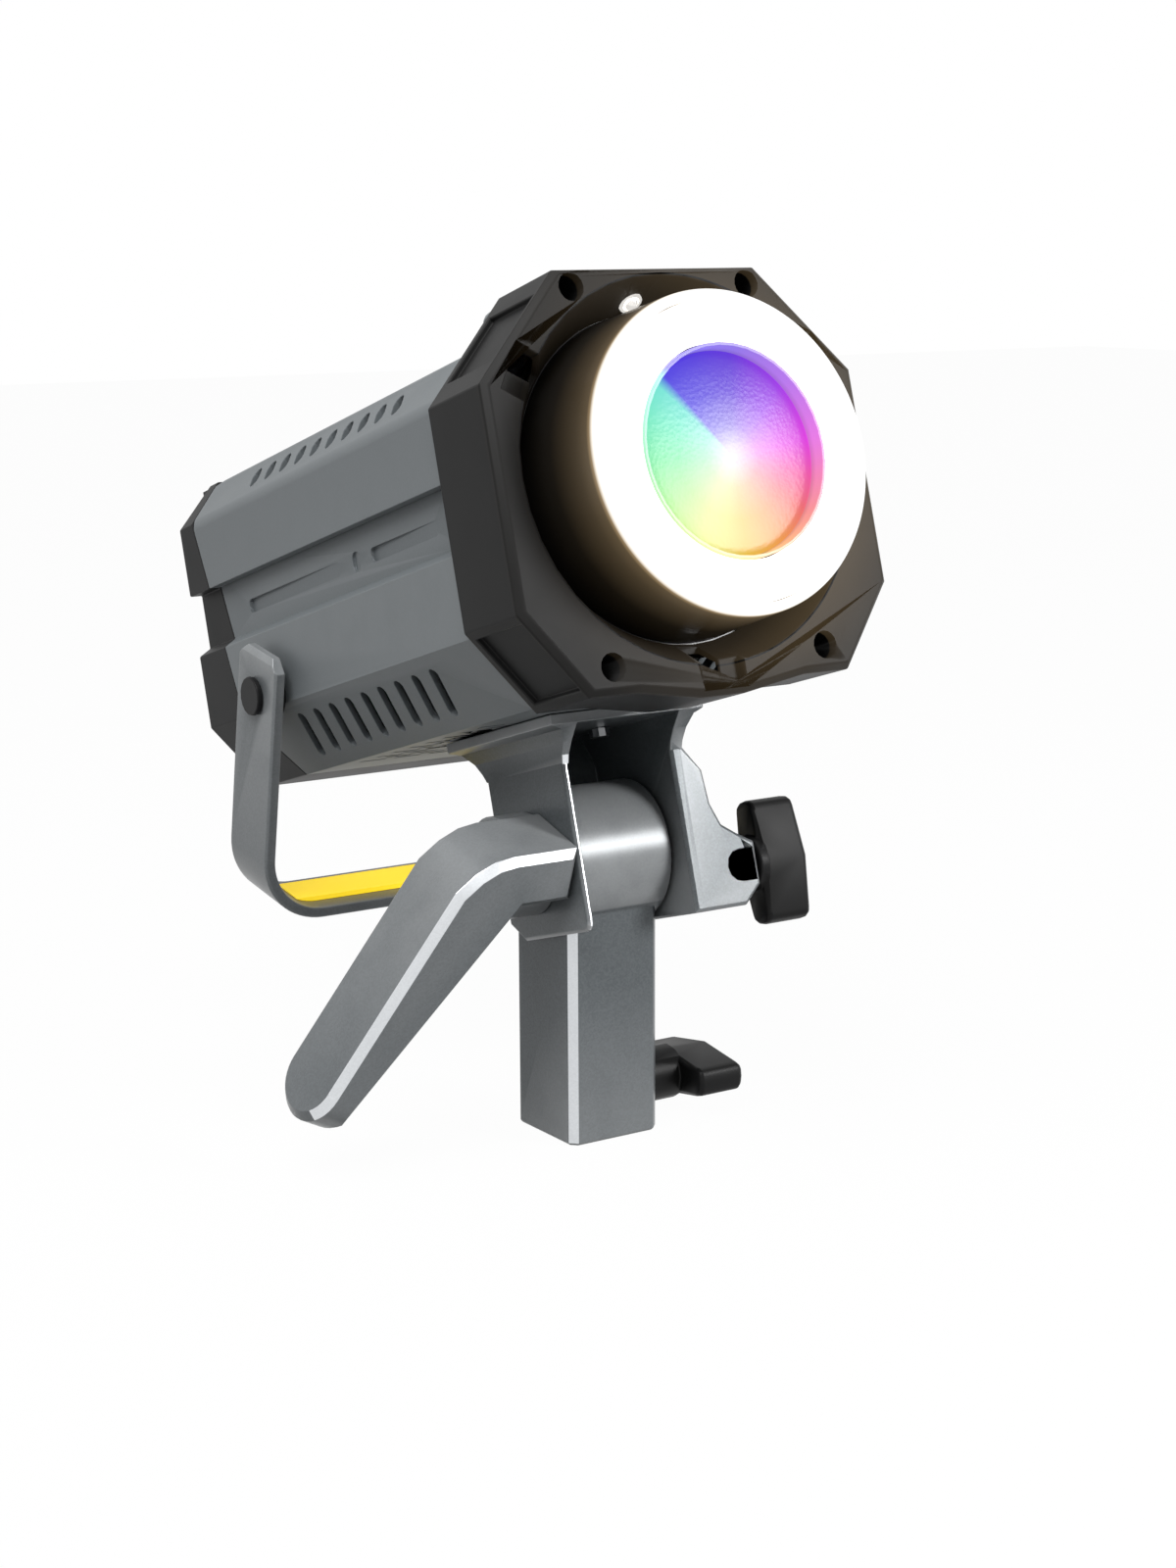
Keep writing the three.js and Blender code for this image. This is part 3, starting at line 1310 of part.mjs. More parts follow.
function rearCap() {
  const start = caseRearAt(-bezelChin);
  const beveled = drawnY(outlineOf(capOutline), [start - rearBevel, rearFace], rearBevel);
  const outer = beveled.intersect(behindJoint(seatGap));
  const inner = drawnY(outlineOf(inset(capOutline, rearWall)), [start - rearBevel, rearFace - rearWall]);
  const posts = joined(...rearScrewPlaces.map(([x, z]) => postAt(x, z, start, rearFace, rearPostRadius)));
  const pane = (margin, span) => drawnY(roundedRectangle(
    2 * (panelHalfWidth + margin), panelHeight + 2 * margin, panelCorner, 0, panelMiddle), span);
  const ledge = cut(
    pane(panelLedge, [panelInner - seatGap - rearWall, rearFace - rearWall]),
    pane(-panelLedge, [start, rearFace]),
  );
  const wells = rearScrewPlaces.flatMap(([x, z]) => [
    rodY(caseScrewHead + seatGap, [rearWellFloor, rearFace + overrun], x, z),
    rodY(caseScrewRadius + seatGap, [start, rearFace], x, z, screwFacets),
  ]);
  const visor = block(
    [-caseTopCorner, caseTopCorner], [rearFace - rearBevel, rearFace + rearVisor],
    [caseTop - rearBevel / 2 - rearVisorWall, caseTop - rearBevel / 2]);
  return cut(
    joined(cut(outer, inner), posts.intersect(outer), ledge.intersect(outer), visor),
    pane(seatGap, [panelInner - seatGap, rearFace + overrun]), ...wells,
  );
}
place('rear_cap', rearCap(), 'black', headFrame);
const capHeadFrom = rearWellFloor + seatGap + caseScrewHeadLength;
rearScrewPlaces.forEach(([x, z], i) =>
  place(`rear_cap_screw_${i + 1}`, caseScrew(x, z, capHeadFrom, -1), 'steel', headFrame));

// Rear panel, with openings for the display, dials, buttons, switch, inlet and port
function windowGap(width, height, x, z, corner = 0) {
  const [half, tall] = [width / 2 + seatGap, height / 2 + seatGap];
  const outline = corner > 0
    ? roundedRectangle(2 * half, 2 * tall, corner, x, z)
    : outlineOf([[x - half, z - tall], [x + half, z - tall], [x + half, z + tall], [x - half, z + tall]]);
  return drawnY(outline, [panelInner - overrun, panelOuter + overrun]);
}
const dialPlaces = [-dialSpacing, dialSpacing];
const buttonPlaces = [-buttonPitch / 2, buttonPitch / 2];
const inletBody = inletBore + inletWall;

function rearPanel() {
  const plate = drawnY(
    roundedRectangle(2 * panelHalfWidth, panelHeight, panelCorner, 0, panelMiddle), [panelInner, panelOuter]);
  return cut(
    plate,
    windowGap(windowWidth, windowHeight, 0, windowRise, windowCorner),
    ...dialPlaces.map((x) => rodY(dialShaft + seatGap, [panelInner - overrun, rearFace], x, -dialDrop)),
    ...buttonPlaces.map((x) => windowGap(buttonWidth, buttonHeight, x, -dialDrop)),
    windowGap(switchWidth, switchHeight, -switchAcross, -switchDrop),
    rodY(inletBody + seatGap, [panelInner - overrun, rearFace], switchAcross, -switchDrop),
    windowGap(portWidth, portHeight, 0, -portDrop),
  );
}
place('rear_panel', rearPanel(), 'black', headFrame);

// Display window and the display behind it
place('display_window', drawnY(
  roundedRectangle(windowWidth, windowHeight, windowCorner, 0, windowRise), [panelInner, panelOuter],
), 'lens', headFrame);
const screenBack = panelInner - seatGap;
const screenFrom = screenBack - screenThickness;
const screenHalf = [windowWidth / 2 + screenMargin, windowHeight / 2 + screenMargin];
place('display_module', block(
  [-screenHalf[0], screenHalf[0]], [screenFrom, screenBack],
  [windowRise - screenHalf[1], windowRise + screenHalf[1]],
), 'satinBlack', headFrame);

// Dials on the shafts of their encoders
const encoderBack = panelInner - seatGap;
const encoderFrom = encoderBack - encoderDepth;
function dial(x) {
  const knobFrom = panelOuter + seatGap;
  const faceRadius = dialRadius - rearBevel / 2;
  return joined(
    rodY(dialRadius, [knobFrom, knobFrom + dialLength], x, -dialDrop, roundFacets, faceRadius),
    rodY(dialShaft, [encoderBack - dialShaftSeat, knobFrom + dialLength / 2], x, -dialDrop, screwFacets),
  );
}
place('intensity_dial', dial(-dialSpacing), 'satinBlack', headFrame);
place('colour_dial', dial(dialSpacing), 'satinBlack', headFrame);

// Buttons that the panel's back holds in by their flanges
function button(x) {
  const half = [buttonWidth / 2, buttonHeight / 2];
  const flange = half.map((h) => h + buttonFlange);
  return joined(
    block([x - half[0], x + half[0]], [panelInner - seatGap - buttonFlange, panelOuter + buttonProud],
      [-dialDrop - half[1], -dialDrop + half[1]]),
    block([x - flange[0], x + flange[0]], [panelInner - seatGap - buttonFlange, panelInner - seatGap],
      [-dialDrop - flange[1], -dialDrop + flange[1]]),
  );
}
place('mode_button', button(buttonPlaces[0]), 'satinBlack', headFrame);
place('channel_button', button(buttonPlaces[1]), 'satinBlack', headFrame);

// Power switch: a frame with a rim outside the panel, and the rocker on its pins
const switchRimFrom = panelOuter + seatGap;
const switchEnd = switchRimFrom + switchWall;
const rockerAxis = panelOuter - panelSink;
const rockerHalf = switchWidth / 2 - switchWall - runningGap;

function switchFrame() {
  const half = [switchWidth / 2, switchHeight / 2];
  const box = (grow, [y0, y1]) => block(
    [-half[0] - grow, half[0] + grow], [y0, y1], [-half[1] - grow, half[1] + grow]);
  const frame = cut(
    joined(box(0, [switchEnd - switchDepth, switchEnd]), box(switchRim, [switchRimFrom, switchEnd])),
    box(-switchWall, [switchEnd - switchDepth + switchWall, switchEnd + overrun]),
    rodX(rockerPin + seatGap, [-half[0] - overrun, half[0] + overrun], rockerAxis, 0, screwFacets),
  );
  return frame.translate([-switchAcross, 0, -switchDrop]);
}
place('power_switch_frame', switchFrame(), 'black', headFrame);

// The rocker's face is a shallow V, so that one half stands up and the other lies in
function powerRocker() {
  const rise = Math.tan(rockerAngle) * rockerHalfHeight;
  const side = outlineOf([
    [-rockerPin - seatGap, -rockerHalfHeight / 2], [rockerFront, -rockerHalfHeight],
    [rockerFront + rise / 2, -rockerHalfHeight], [rockerFront - rise / 4, 0],
    [rockerFront + rise / 2, rockerHalfHeight], [rockerFront, rockerHalfHeight],
    [-rockerPin - seatGap, rockerHalfHeight / 2],
  ]);
  const pinHalf = rockerHalf + runningGap + rockerPinReach;
  const pinBar = rodX(rockerPin, [-pinHalf, pinHalf], 0, 0, screwFacets);
  const body = joined(drawnX(side, [-rockerHalf, rockerHalf]), pinBar);
  return turnedBy(body, placed(-switchAcross, rockerAxis, -switchDrop, rockerAngle));
}
place('power_switch_rocker', powerRocker(), 'satinBlack', headFrame);

// Round power inlet with its pins on a base inside
const inletFront = panelOuter + seatGap + inletProud;
const inletFrom = inletFront - inletDepth;
const inletBaseBack = inletFrom + inletWall + seatGap;
place('power_inlet', cut(
  joined(
    rodY(inletBody, [inletFrom, inletFront], switchAcross, -switchDrop),
    rodY(inletRadius, [panelOuter + seatGap, inletFront], switchAcross, -switchDrop),
  ),
  rodY(inletBore, [inletFrom + inletWall, inletFront + overrun], switchAcross, -switchDrop),
), 'steel', headFrame);
const pins = Array.from({ length: inletPinCount }, (_, i) => {
  const turn = ((i + 0.5) / inletPinCount) * 2 * Math.PI;
  const [x, z] = [inletPinRing * Math.cos(turn), inletPinRing * Math.sin(turn)];
  return rodY(inletPin, [inletBaseBack, inletBaseBack + inletBase + inletPinReach],
    switchAcross + x, -switchDrop + z, pinFacets);
});
place('inlet_pins', joined(
  rodY(inletBore - seatGap, [inletBaseBack, inletBaseBack + inletBase], switchAcross, -switchDrop), ...pins,
), 'brass', headFrame);

// USB port: a thin shell with a tongue
function usbPort() {
  const [w, h] = [portWidth / 2, portHeight / 2];
  const front = panelOuter;
  const back = front - portDepth;
  const body = cut(
    block([-w, w], [back, front], [-h, h]),
    block([-w + portWall, w - portWall], [back + portWall, front + overrun], [-h + portWall, h - portWall]),
  );
  const tongue = block([-w / 2, w / 2], [back, front - portWall], [-portTongue / 2, portTongue / 2]);
  return joined(body, tongue).translate([0, 0, -portDrop]);
}
place('usb_port', usbPort(), 'steel', headFrame);

// Control board with the encoders, the button switches and the display's header
function controlBoard() {
  const [w, h, top] = [controlWidth / 2, controlBottom, controlTop];
  const back = encoderFrom;
  const encoders = dialPlaces.map((x) => cut(
    block([x - encoderSize / 2, x + encoderSize / 2], [back - boardThickness, encoderBack],
      [-dialDrop - encoderSize / 2, -dialDrop + encoderSize / 2]),
    rodY(dialShaft + seatGap, [encoderBack - dialShaftSeat - seatGap, encoderBack + overrun], x, -dialDrop),
  ));
  const plungerEnd = panelInner - 2 * seatGap - buttonFlange - buttonTravel;
  const plungers = buttonPlaces.map((x) =>
    rodY(buttonPlunger, [back - boardThickness, plungerEnd], x, -dialDrop, screwFacets));
  const header = block([-screenHalf[0] / 2, screenHalf[0] / 2], [back - boardThickness, screenFrom - seatGap],
    [windowRise - headerHeight / 2, windowRise + headerHeight / 2]);
  const board = cut(
    block([-w, w], [back - boardThickness, back], [-h, top]),
    block([-switchAcross - switchWidth, -switchAcross + switchWidth], [back - overrun, back + overrun],
      [-h - overrun, -switchDrop + switchHeight / 2 + switchWall]),
    block([switchAcross - inletRadius - overrun, switchAcross + inletRadius + overrun],
      [back - overrun, back + overrun], [-h - overrun, -switchDrop + inletRadius + overrun]),
  );
  return joined(board, ...encoders, ...plungers, header);
}
place('control_board', controlBoard(), 'board', headFrame);

// Driver board on posts over the case's floor, with its capacitors, coil and chip
function driverBoard() {
  const half = driverWidth / 2;
  const end = driverStart + driverLength;
  const top = -driverDrop;
  const board = block([-half, half], [driverStart, end], [driverUnder, top]);
  const middle = driverStart + driverLength / 2;
  const capacitors = [-1, 1].map((side) => rodY(
    capacitorRadius, [middle - capacitorLength / 2, middle + capacitorLength / 2],
    side * capacitorSpacing / 2 - half / 2, top + capacitorRadius - boardThickness / 2));
  const coil = rodZ(coilRadius, [driverUnder, top + coilHeight], half / 4, middle);
  const chipEnd = half - chipSize / 2;
  const chip = block(
    [chipEnd - chipSize, chipEnd], [middle - chipSize / 2, middle + chipSize / 2],
    [driverUnder, top + chipHeight]);
  return joined(board, ...capacitors, coil, chip);
}
place('driver_board', driverBoard(), 'board', headFrame);

// Carrying bail: a flat bar bent round the case, with a grip sleeve inside its crossbar
const bailInner = bailAcross - bailThickness;

function bailOutline(across, drop, corner, top, topCorner) {
  const shape = new THREE.Shape();
  shape.moveTo(across, top - topCorner);
  shape.lineTo(across, -drop + corner);
  shape.absarc(across - corner, -drop + corner, corner, 0, -Math.PI / 2, true);
  shape.absarc(-across + corner, -drop + corner, corner, -Math.PI / 2, -Math.PI, true);
  shape.lineTo(-across, top - topCorner);
  shape.lineTo(-across + topCorner / 2, top);
  shape.lineTo(across - topCorner / 2, top);
  return shape;
}

const bailHalfWidth = bailWidth / 2;
function bailHollow(gap, top, span) {
  const outline = bailOutline(
    bailInner - gap, bailDrop - bailThickness - gap, bailCorner - bailThickness - gap, top, overrun);
  return drawnY(outline, span, 0, wideBendSegments);
}

function bail() {
  const outer = drawnY(
    bailOutline(bailAcross, bailDrop, bailCorner, bailTop, overrun),
    [-bailHalfWidth, bailHalfWidth], bailEdgeBevel, wideBendSegments);
  const flank = new THREE.Shape();
  const cutCorner = bailTopCorner;
  flank.moveTo(-bailHalfWidth, -bailDrop);
  flank.lineTo(bailHalfWidth, -bailDrop);
  flank.lineTo(bailHalfWidth, bailTop - cutCorner);
  flank.lineTo(bailHalfWidth - cutCorner, bailTop);
  flank.lineTo(-bailHalfWidth + cutCorner, bailTop);
  flank.lineTo(-bailHalfWidth, bailTop - cutCorner);
  return cut(
    outer.intersect(drawnX(flank, [-bailAcross, bailAcross])),
    bailHollow(0, bailTop + overrun * 2, [-bailWidth, bailWidth]),
    rodX(bailBoltRadius + runningGap, [-bailAcross - overrun, bailAcross + overrun]),
  );
}
place('bail', bail(), 'castGrey', bailFrame);
const gripHalf = bailHalfWidth - bailGripMargin;
const bailGripTop = bailThickness + seatGap + bailGripThickness - bailDrop;
const gripSleeve = bailHollow(seatGap, bailTop, [-gripHalf, gripHalf])
  .intersect(block([-bailAcross, bailAcross], [-bailWidth, bailWidth], [-bailDrop, bailGripTop]));
place('bail_grip', gripSleeve, 'yellow', bailFrame);

// The bail's bushings in the case walls, and the screws through them
const bushingTip = bailBossIn + bailBossFloor + seatGap;
function bailBushing() {
  return cut(
    joined(
      rodX(bailBushRadius, [bushingTip, caseHalfWidth + seatGap], 0, 0),
      rodX(bailBushFlange, [caseHalfWidth + seatGap, bailInner - seatGap], 0, 0),
    ),
    rodX(bailBoltRadius + seatGap, [bushingTip - overrun, bailInner + overrun]),
  );
}
const bailScrew = joined(
  rodX(bailBoltRadius, [bailBossIn - seatGap, bailAcross + seatGap + bailCapThickness], 0, 0, screwFacets),
  rodX(bailCapRadius, [bailAcross + seatGap, bailAcross + seatGap + bailCapThickness]),
);
const sides = { right: (body) => body, left: (body) => body.mirror([1, 0, 0]) };
Object.entries(sides).forEach(([side, facing]) => {
  place(`bail_bushing_${side}`, facing(bailBushing()), 'satinBlack', bailFrame);
  place(`bail_screw_${side}`, facing(bailScrew), 'satinBlack', bailFrame);
});

export default videoLight;
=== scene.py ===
"""Compact video light on a tilting yoke: its finish, fine forms, studio and camera, around the CAD frame."""

import functools
import json
import math

import bmesh
import bpy
from bpy.props import FloatProperty, FloatVectorProperty, IntProperty, PointerProperty
from mathutils import Matrix, Vector


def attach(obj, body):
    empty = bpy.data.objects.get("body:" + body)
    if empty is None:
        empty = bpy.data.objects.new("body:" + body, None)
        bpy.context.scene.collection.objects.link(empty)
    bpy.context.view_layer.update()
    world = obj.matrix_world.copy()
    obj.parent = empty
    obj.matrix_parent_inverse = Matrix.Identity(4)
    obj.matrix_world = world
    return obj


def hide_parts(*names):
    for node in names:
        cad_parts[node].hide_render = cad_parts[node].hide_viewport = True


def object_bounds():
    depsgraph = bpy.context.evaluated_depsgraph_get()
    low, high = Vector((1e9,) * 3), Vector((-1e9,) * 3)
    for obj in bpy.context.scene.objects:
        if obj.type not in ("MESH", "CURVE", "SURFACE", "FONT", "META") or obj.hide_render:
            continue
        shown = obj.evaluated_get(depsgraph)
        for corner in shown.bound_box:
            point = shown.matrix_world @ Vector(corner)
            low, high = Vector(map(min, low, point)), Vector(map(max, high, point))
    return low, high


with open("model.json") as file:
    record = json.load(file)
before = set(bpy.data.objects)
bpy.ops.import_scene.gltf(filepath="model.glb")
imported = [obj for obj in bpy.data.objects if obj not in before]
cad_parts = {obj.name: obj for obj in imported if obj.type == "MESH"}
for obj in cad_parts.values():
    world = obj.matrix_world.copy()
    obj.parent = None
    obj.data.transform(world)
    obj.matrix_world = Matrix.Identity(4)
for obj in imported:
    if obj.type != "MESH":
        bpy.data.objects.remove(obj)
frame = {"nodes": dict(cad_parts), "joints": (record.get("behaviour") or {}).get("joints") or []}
CAD_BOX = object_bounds()

bl_info = {
    "name": "Video Light",
    "version": (1, 0, 0),
    "blender": (4, 5, 0),
    "location": "View3D > Sidebar > Video Light",
    "description": "Builds a compact video light with its yoke, bail and studio",
    "category": "Object",
}

MM = 0.001
FULL_TURN = 2 * math.pi
QUARTER = math.pi / 2

# Limits: points that merge, faces that count as flat, points on a plane or near a line, and long edges
WELD = 0.002 * MM
FLAT_WITHIN = math.radians(0.4)
ON_PLANE = 0.05 * MM
NEAR_LINE = 0.3 * MM
LONG_EDGE = 5 * MM

# Room that a round needs beside its edge, as a share of its width
ROOM = 2.2

# Rounds on the pieces' edges
CASE_EDGE = 0.25 * MM
CASE_TOP_CREASE = 2.4 * MM
CASE_BASE_CREASE = 2.2 * MM
CREASE_STEPS = 4
BEZEL_EDGE = 0.5 * MM
COLLAR_EDGE = 0.12 * MM
RING_EDGE = 0.5 * MM
LENS_EDGE = 0.6 * MM
LENS_CROWN = 0.9 * MM
SLEEVE_EDGE = 0.15 * MM
YOKE_EDGE = 0.3 * MM
POST_EDGE = 0.4 * MM
DISC_EDGE = 0.12 * MM
LEVER_EDGE = 0.25 * MM
KNOB_EDGE = 0.6 * MM
BAIL_EDGE = 0.3 * MM
GRIP_EDGE = 0.8 * MM
PIVOT_EDGE = 0.4 * MM
BUSH_EDGE = 0.2 * MM
CAP_EDGE = 0.35 * MM
PANEL_EDGE = 0.15 * MM
SOCKET_EDGE = 0.2 * MM
WINDOW_EDGE = 0.3 * MM
CONTROL_EDGE = 0.3 * MM
BUTTON_EDGE = 0.4 * MM

# Places on the head: gap beside the ring, the collar's flange, the ring's hole, the opening's seam, the lens
RING_GAP = 0.3 * MM
FLANGE_DEPTH = 2.6 * MM
RING_HOLE = 29.3 * MM
SEAM_RADIUS = 53.6 * MM
SEAM_HALF_WIDTH = 0.25 * MM
WELLS_FROM = 3.2 * MM
SPILL_DEPTH = -21 * MM
LENS_LIT_RADIUS = 28.5 * MM
WHEEL_RIGHT = 0.6 * MM
WHEEL_DOWN = 0.8 * MM
LEVER_TWIST = math.radians(33.5)

# Sizes of the finishes beside their grain
FLAKE_SHARE = 1.4
HEIGHT_SHARE = 0.25
# Edges made brighter where the surface is pointed: partly wear, partly a painted highlight along the edges
WORN_AND_LIT_GAIN = 1.3
WORN_AND_LIT_FROM = 0.515
WORN_AND_LIT_RISE = 14
WORN_AND_LIT_LEAST = 0.45

# The studio: lamps as (place, size), and the floor's own shade and how far the camera sees it white
TOP_LAMP = ((-0.6, -0.36, 1.16), 0.9)
FRONT_LAMP = ((0.55, -0.8, 0.46), 0.3)
FLOOR_SIZE = 8
FLOOR_SHADE = 0.22
FLOOR_WHITE = 1.08
FLOOR_SEEN = 0.9
SENSOR_WIDTH = 36

# Shares of a face's normal along a direction: squarely towards it, leaning to it, just turned to it
SQUARE_ON = 0.9
LEANING = 0.5
TURNED = 0.2
# Side of the top lamp: the lever's chamfer turned to it gets a painted highlight
UPPER_LEFT = Vector((-0.6, 0, 0.8))

# Steps of the large and small rounds of turned pieces, and the flat middle of the lens beside its rim
LARGE_STEPS = 8
SMALL_STEPS = 3
LENS_MIDDLE = 0.02

# Metals as (colour, roughness, width of their turning marks, strength of those marks)
METALS = {
    # Bright metal that paints a highlight on faces turned to the lamps or the camera
    "painted_highlight_metal": ((0.66, 0.68, 0.7), 0.38, 0.3 * MM, 0.1),
    "machined_steel": ((0.36, 0.37, 0.38), 0.32, 0.6 * MM, 0.1),
    "extruded_aluminium": ((0.52, 0.54, 0.56), 0.36, 0.6 * MM, 0.1),
    "copper_plate": ((0.6, 0.25, 0.1), 0.34, 0.6 * MM, 0.1),
    "gilt_contacts": ((0.62, 0.43, 0.16), 0.28, 0.6 * MM, 0.1),
    "polished_steel": ((0.78, 0.78, 0.79), 0.12, 0.6 * MM, 0.02),
}

# Kinds of node sockets
FLOAT = "NodeSocketFloat"
COLOUR = "NodeSocketColor"
VECTOR = "NodeSocketVector"


# Axes of the head, from the fan's joint: X to the right, Y back along the optical axis, Z up
def joint_named(name):
    """The frame's joint of that name."""
    return next(j for j in frame["joints"] if j["name"] == name)


def head_axes():
    """Matrix from the head's own axes to the frame, with its origin in the front opening's plane."""
    fan = joint_named("fan_spin")
    across = Vector((1, 0, 0))
    back = Vector(fan["axis"]).normalized()
    up = across.cross(back)
    at = Vector(fan["pos_m"])
    front = min((v.co - at).dot(back) for v in frame["nodes"]["front_bezel"].data.vertices)
    origin = at + back * front
    turn = Matrix((across, back, up)).transposed().to_4x4()
    return Matrix.Translation(origin) @ turn


HEAD = head_axes()


def head_box(node):
    """Lowest and highest corner of a CAD node along the head's axes."""
    back = HEAD.inverted()
    points = [back @ v.co for v in frame["nodes"][node].data.vertices]
    low = Vector(min(p[i] for p in points) for i in range(3))
    high = Vector(max(p[i] for p in points) for i in range(3))
    return low, high


# Small steps that every piece uses
def only(piece):
    """Selects one object alone and makes it active, in object mode."""
    if bpy.context.object is not None and bpy.context.object.mode != "OBJECT":
        bpy.ops.object.mode_set(mode="OBJECT")
    bpy.ops.object.select_all(action="DESELECT")
    piece.select_set(True)
    bpy.context.view_layer.objects.active = piece


def edit(piece, kind="FACE"):
    """Opens a piece in edit mode with nothing selected, and returns its edit mesh."""
    only(piece)
    bpy.ops.object.mode_set(mode="EDIT")
    bpy.ops.mesh.select_mode(type=kind)
    bpy.ops.mesh.select_all(action="DESELECT")
    return bmesh.from_edit_mesh(piece.data)


def pick(piece, kind, test):
    """Selects the faces, edges or vertices that pass a test, and says how many they are."""
    shape = edit(piece, kind)
    parts = {"FACE": shape.faces, "EDGE": shape.edges, "VERT": shape.verts}[kind]
    parts.ensure_lookup_table()
    count = 0
    for part in parts:
        if test(part):
            part.select_set(True)
            count += 1
    shape.select_flush_mode()
    bmesh.update_edit_mesh(piece.data)
    return count


def leave_edit():
    """Back to object mode."""
    bpy.ops.object.mode_set(mode="OBJECT")


def modify(piece, kind, **settings):
    """Adds a modifier with its settings and applies it."""
    only(piece)
    bpy.ops.object.modifier_add(type=kind)
    modifier = piece.modifiers[-1]
    for name, value in settings.items():
        setattr(modifier, name, value)
    bpy.ops.object.modifier_apply(modifier=modifier.name)


def finish_piece(piece, body, material, nodes):
    """Gives a piece its body, slot, material and the CAD nodes that it stands for."""
    if not piece.data.materials:
        piece.data.materials.append(material)
    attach(piece, body)
    if nodes:
        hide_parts(*nodes)


def paint_highlight_faces(piece, test):
    """Paints a highlight: the faces that pass a test, turned to a lamp or to the camera, get bright metal
    beside the coat of the rest of the casting.
    """
    piece.data.materials.append(cast_metal())
    piece.data.materials.append(metal("painted_highlight_metal"))
    if pick(piece, "FACE", test):
        piece.active_material_index = 1
        bpy.ops.object.material_slot_assign()
    leave_edit()


def roomy(edge, width):
    """Whether an edge has room for a round: no short edge at its ends and no thin face beside it."""
    least = ROOM * width
    if any(e.calc_length() < least for v in edge.verts for e in v.link_edges):
        return False
    start = edge.verts[0].co
    along = (edge.verts[1].co - start).normalized()
    for face in edge.link_faces:
        widest = max((v.co - start).cross(along).length for v in face.verts)
        if widest < least:
            return False
    return True


def soften(piece, width, segments=2, angle=30, smooth=40, least=0.0):
    """Rounds the sharp edges that have room for it, and shades smooth where faces nearly agree."""
    sharp = math.radians(angle)

    def takes_round(edge):
        if len(edge.link_faces) != 2 or edge.calc_length() < least:
            return False
        return edge.calc_face_angle() > sharp and roomy(edge, width)

    if width > 0 and pick(piece, "EDGE", takes_round):
        bpy.ops.mesh.bevel(offset=width, segments=segments, affect="EDGES", clamp_overlap=False)
    leave_edit()
    only(piece)
    bpy.ops.object.shade_smooth_by_angle(angle=math.radians(smooth))
    modify(piece, "WEIGHTED_NORMAL", weight=100, keep_sharp=True)


def dress(cad, name, body, slot, material, width, **rounding):
    """Copies a CAD node, rounds its edges, and gives the copy its body and material."""
    piece = copy_of(cad, name)
    soften(piece, width, **rounding)
    finish_piece(piece, body, material, [cad])


def copy_of(node, name):
    """A merged copy of a CAD node's mesh as a new object, its flat faces made whole."""
    mesh = frame["nodes"][node].data.copy()
    mesh.name = name
    mesh.materials.clear()
    piece = bpy.data.objects.new(name, mesh)
    bpy.context.scene.collection.objects.link(piece)
    edit(piece, "VERT")
    bpy.ops.mesh.select_all(action="SELECT")
    bpy.ops.mesh.remove_doubles(threshold=WELD)
    bpy.ops.mesh.dissolve_limited(angle_limit=FLAT_WITHIN)
    leave_edit()
    return piece


def round_creases(piece, lines, width, segments):
    """Rounds the long creases of a piece that run along the head's axis through given (x, z) places."""
    back = HEAD.inverted()

    def on_line(edge):
        ends = [back @ v.co for v in edge.verts]
        if abs(ends[0].y - ends[1].y) < LONG_EDGE:
            return False
        return any(
            all(abs(abs(p.x) - x) < NEAR_LINE and abs(p.z - z) < NEAR_LINE for p in ends)
            for x, z in lines)

    if pick(piece, "EDGE", on_line):
        bpy.ops.mesh.bevel(offset=width, segments=segments, affect="EDGES", clamp_overlap=True)
    leave_edit()


def ring_start(name, radius, y, sides):
    """A circle of edges round the optical axis, in the head's own axes."""
    bpy.ops.object.select_all(action="DESELECT")
    bpy.ops.mesh.primitive_circle_add(
        vertices=sides, radius=radius, location=(0, y, 0), rotation=(QUARTER, 0, 0))
    piece = bpy.context.object
    piece.name = name
    piece.data.name = name
    bpy.ops.object.transform_apply(location=True, rotation=True, scale=True)
    return piece


def turned(name, profile, sides, closed=True):
    """A ring of edges drawn along a profile of (radius, y) points, closed on itself or capped."""
    radius, y = profile[0]
    piece = ring_start(name, radius, y, sides)
    bpy.ops.object.mode_set(mode="EDIT")
    bpy.ops.mesh.select_mode(type="VERT")
    bpy.ops.mesh.select_all(action="SELECT")
    if not closed:
        bpy.ops.mesh.edge_face_add()
    steps = profile[1:] + ([profile[0]] if closed else [])
    for next_radius, next_y in steps:
        bpy.ops.mesh.extrude_region_move(TRANSFORM_OT_translate={"value": (0, next_y - y, 0)})
        share = next_radius / radius
        bpy.ops.transform.resize(value=(share, 1, share), center_override=(0, next_y, 0))
        radius, y = next_radius, next_y
    bpy.ops.mesh.select_all(action="SELECT")
    bpy.ops.mesh.remove_doubles(threshold=WELD)
    bpy.ops.mesh.normals_make_consistent(inside=False)
    leave_edit()
    return piece


def into_head(piece):
    """Moves a piece from the head's own axes into the frame, and applies the place to its mesh."""
    only(piece)
    piece.matrix_world = HEAD
    bpy.ops.object.transform_apply(location=True, rotation=True, scale=True)


def arc(centre, radius, start, end, steps):
    """Points on an arc in the (radius, y) plane of a profile."""
    return [
        (centre[0] + radius * math.cos(start + (end - start) * i / steps),
         centre[1] + radius * math.sin(start + (end - start) * i / steps))
        for i in range(steps + 1)
    ]


def tone(red, green, blue):
    """A linear colour from the 0 to 255 values that it shows on a screen."""
    return tuple(
        v / 255 / 12.92 if v <= 10 else ((v / 255 + 0.055) / 1.055) ** 2.4 for v in (red, green, blue))


def grey(level):
    """A linear grey."""
    return level, level, level


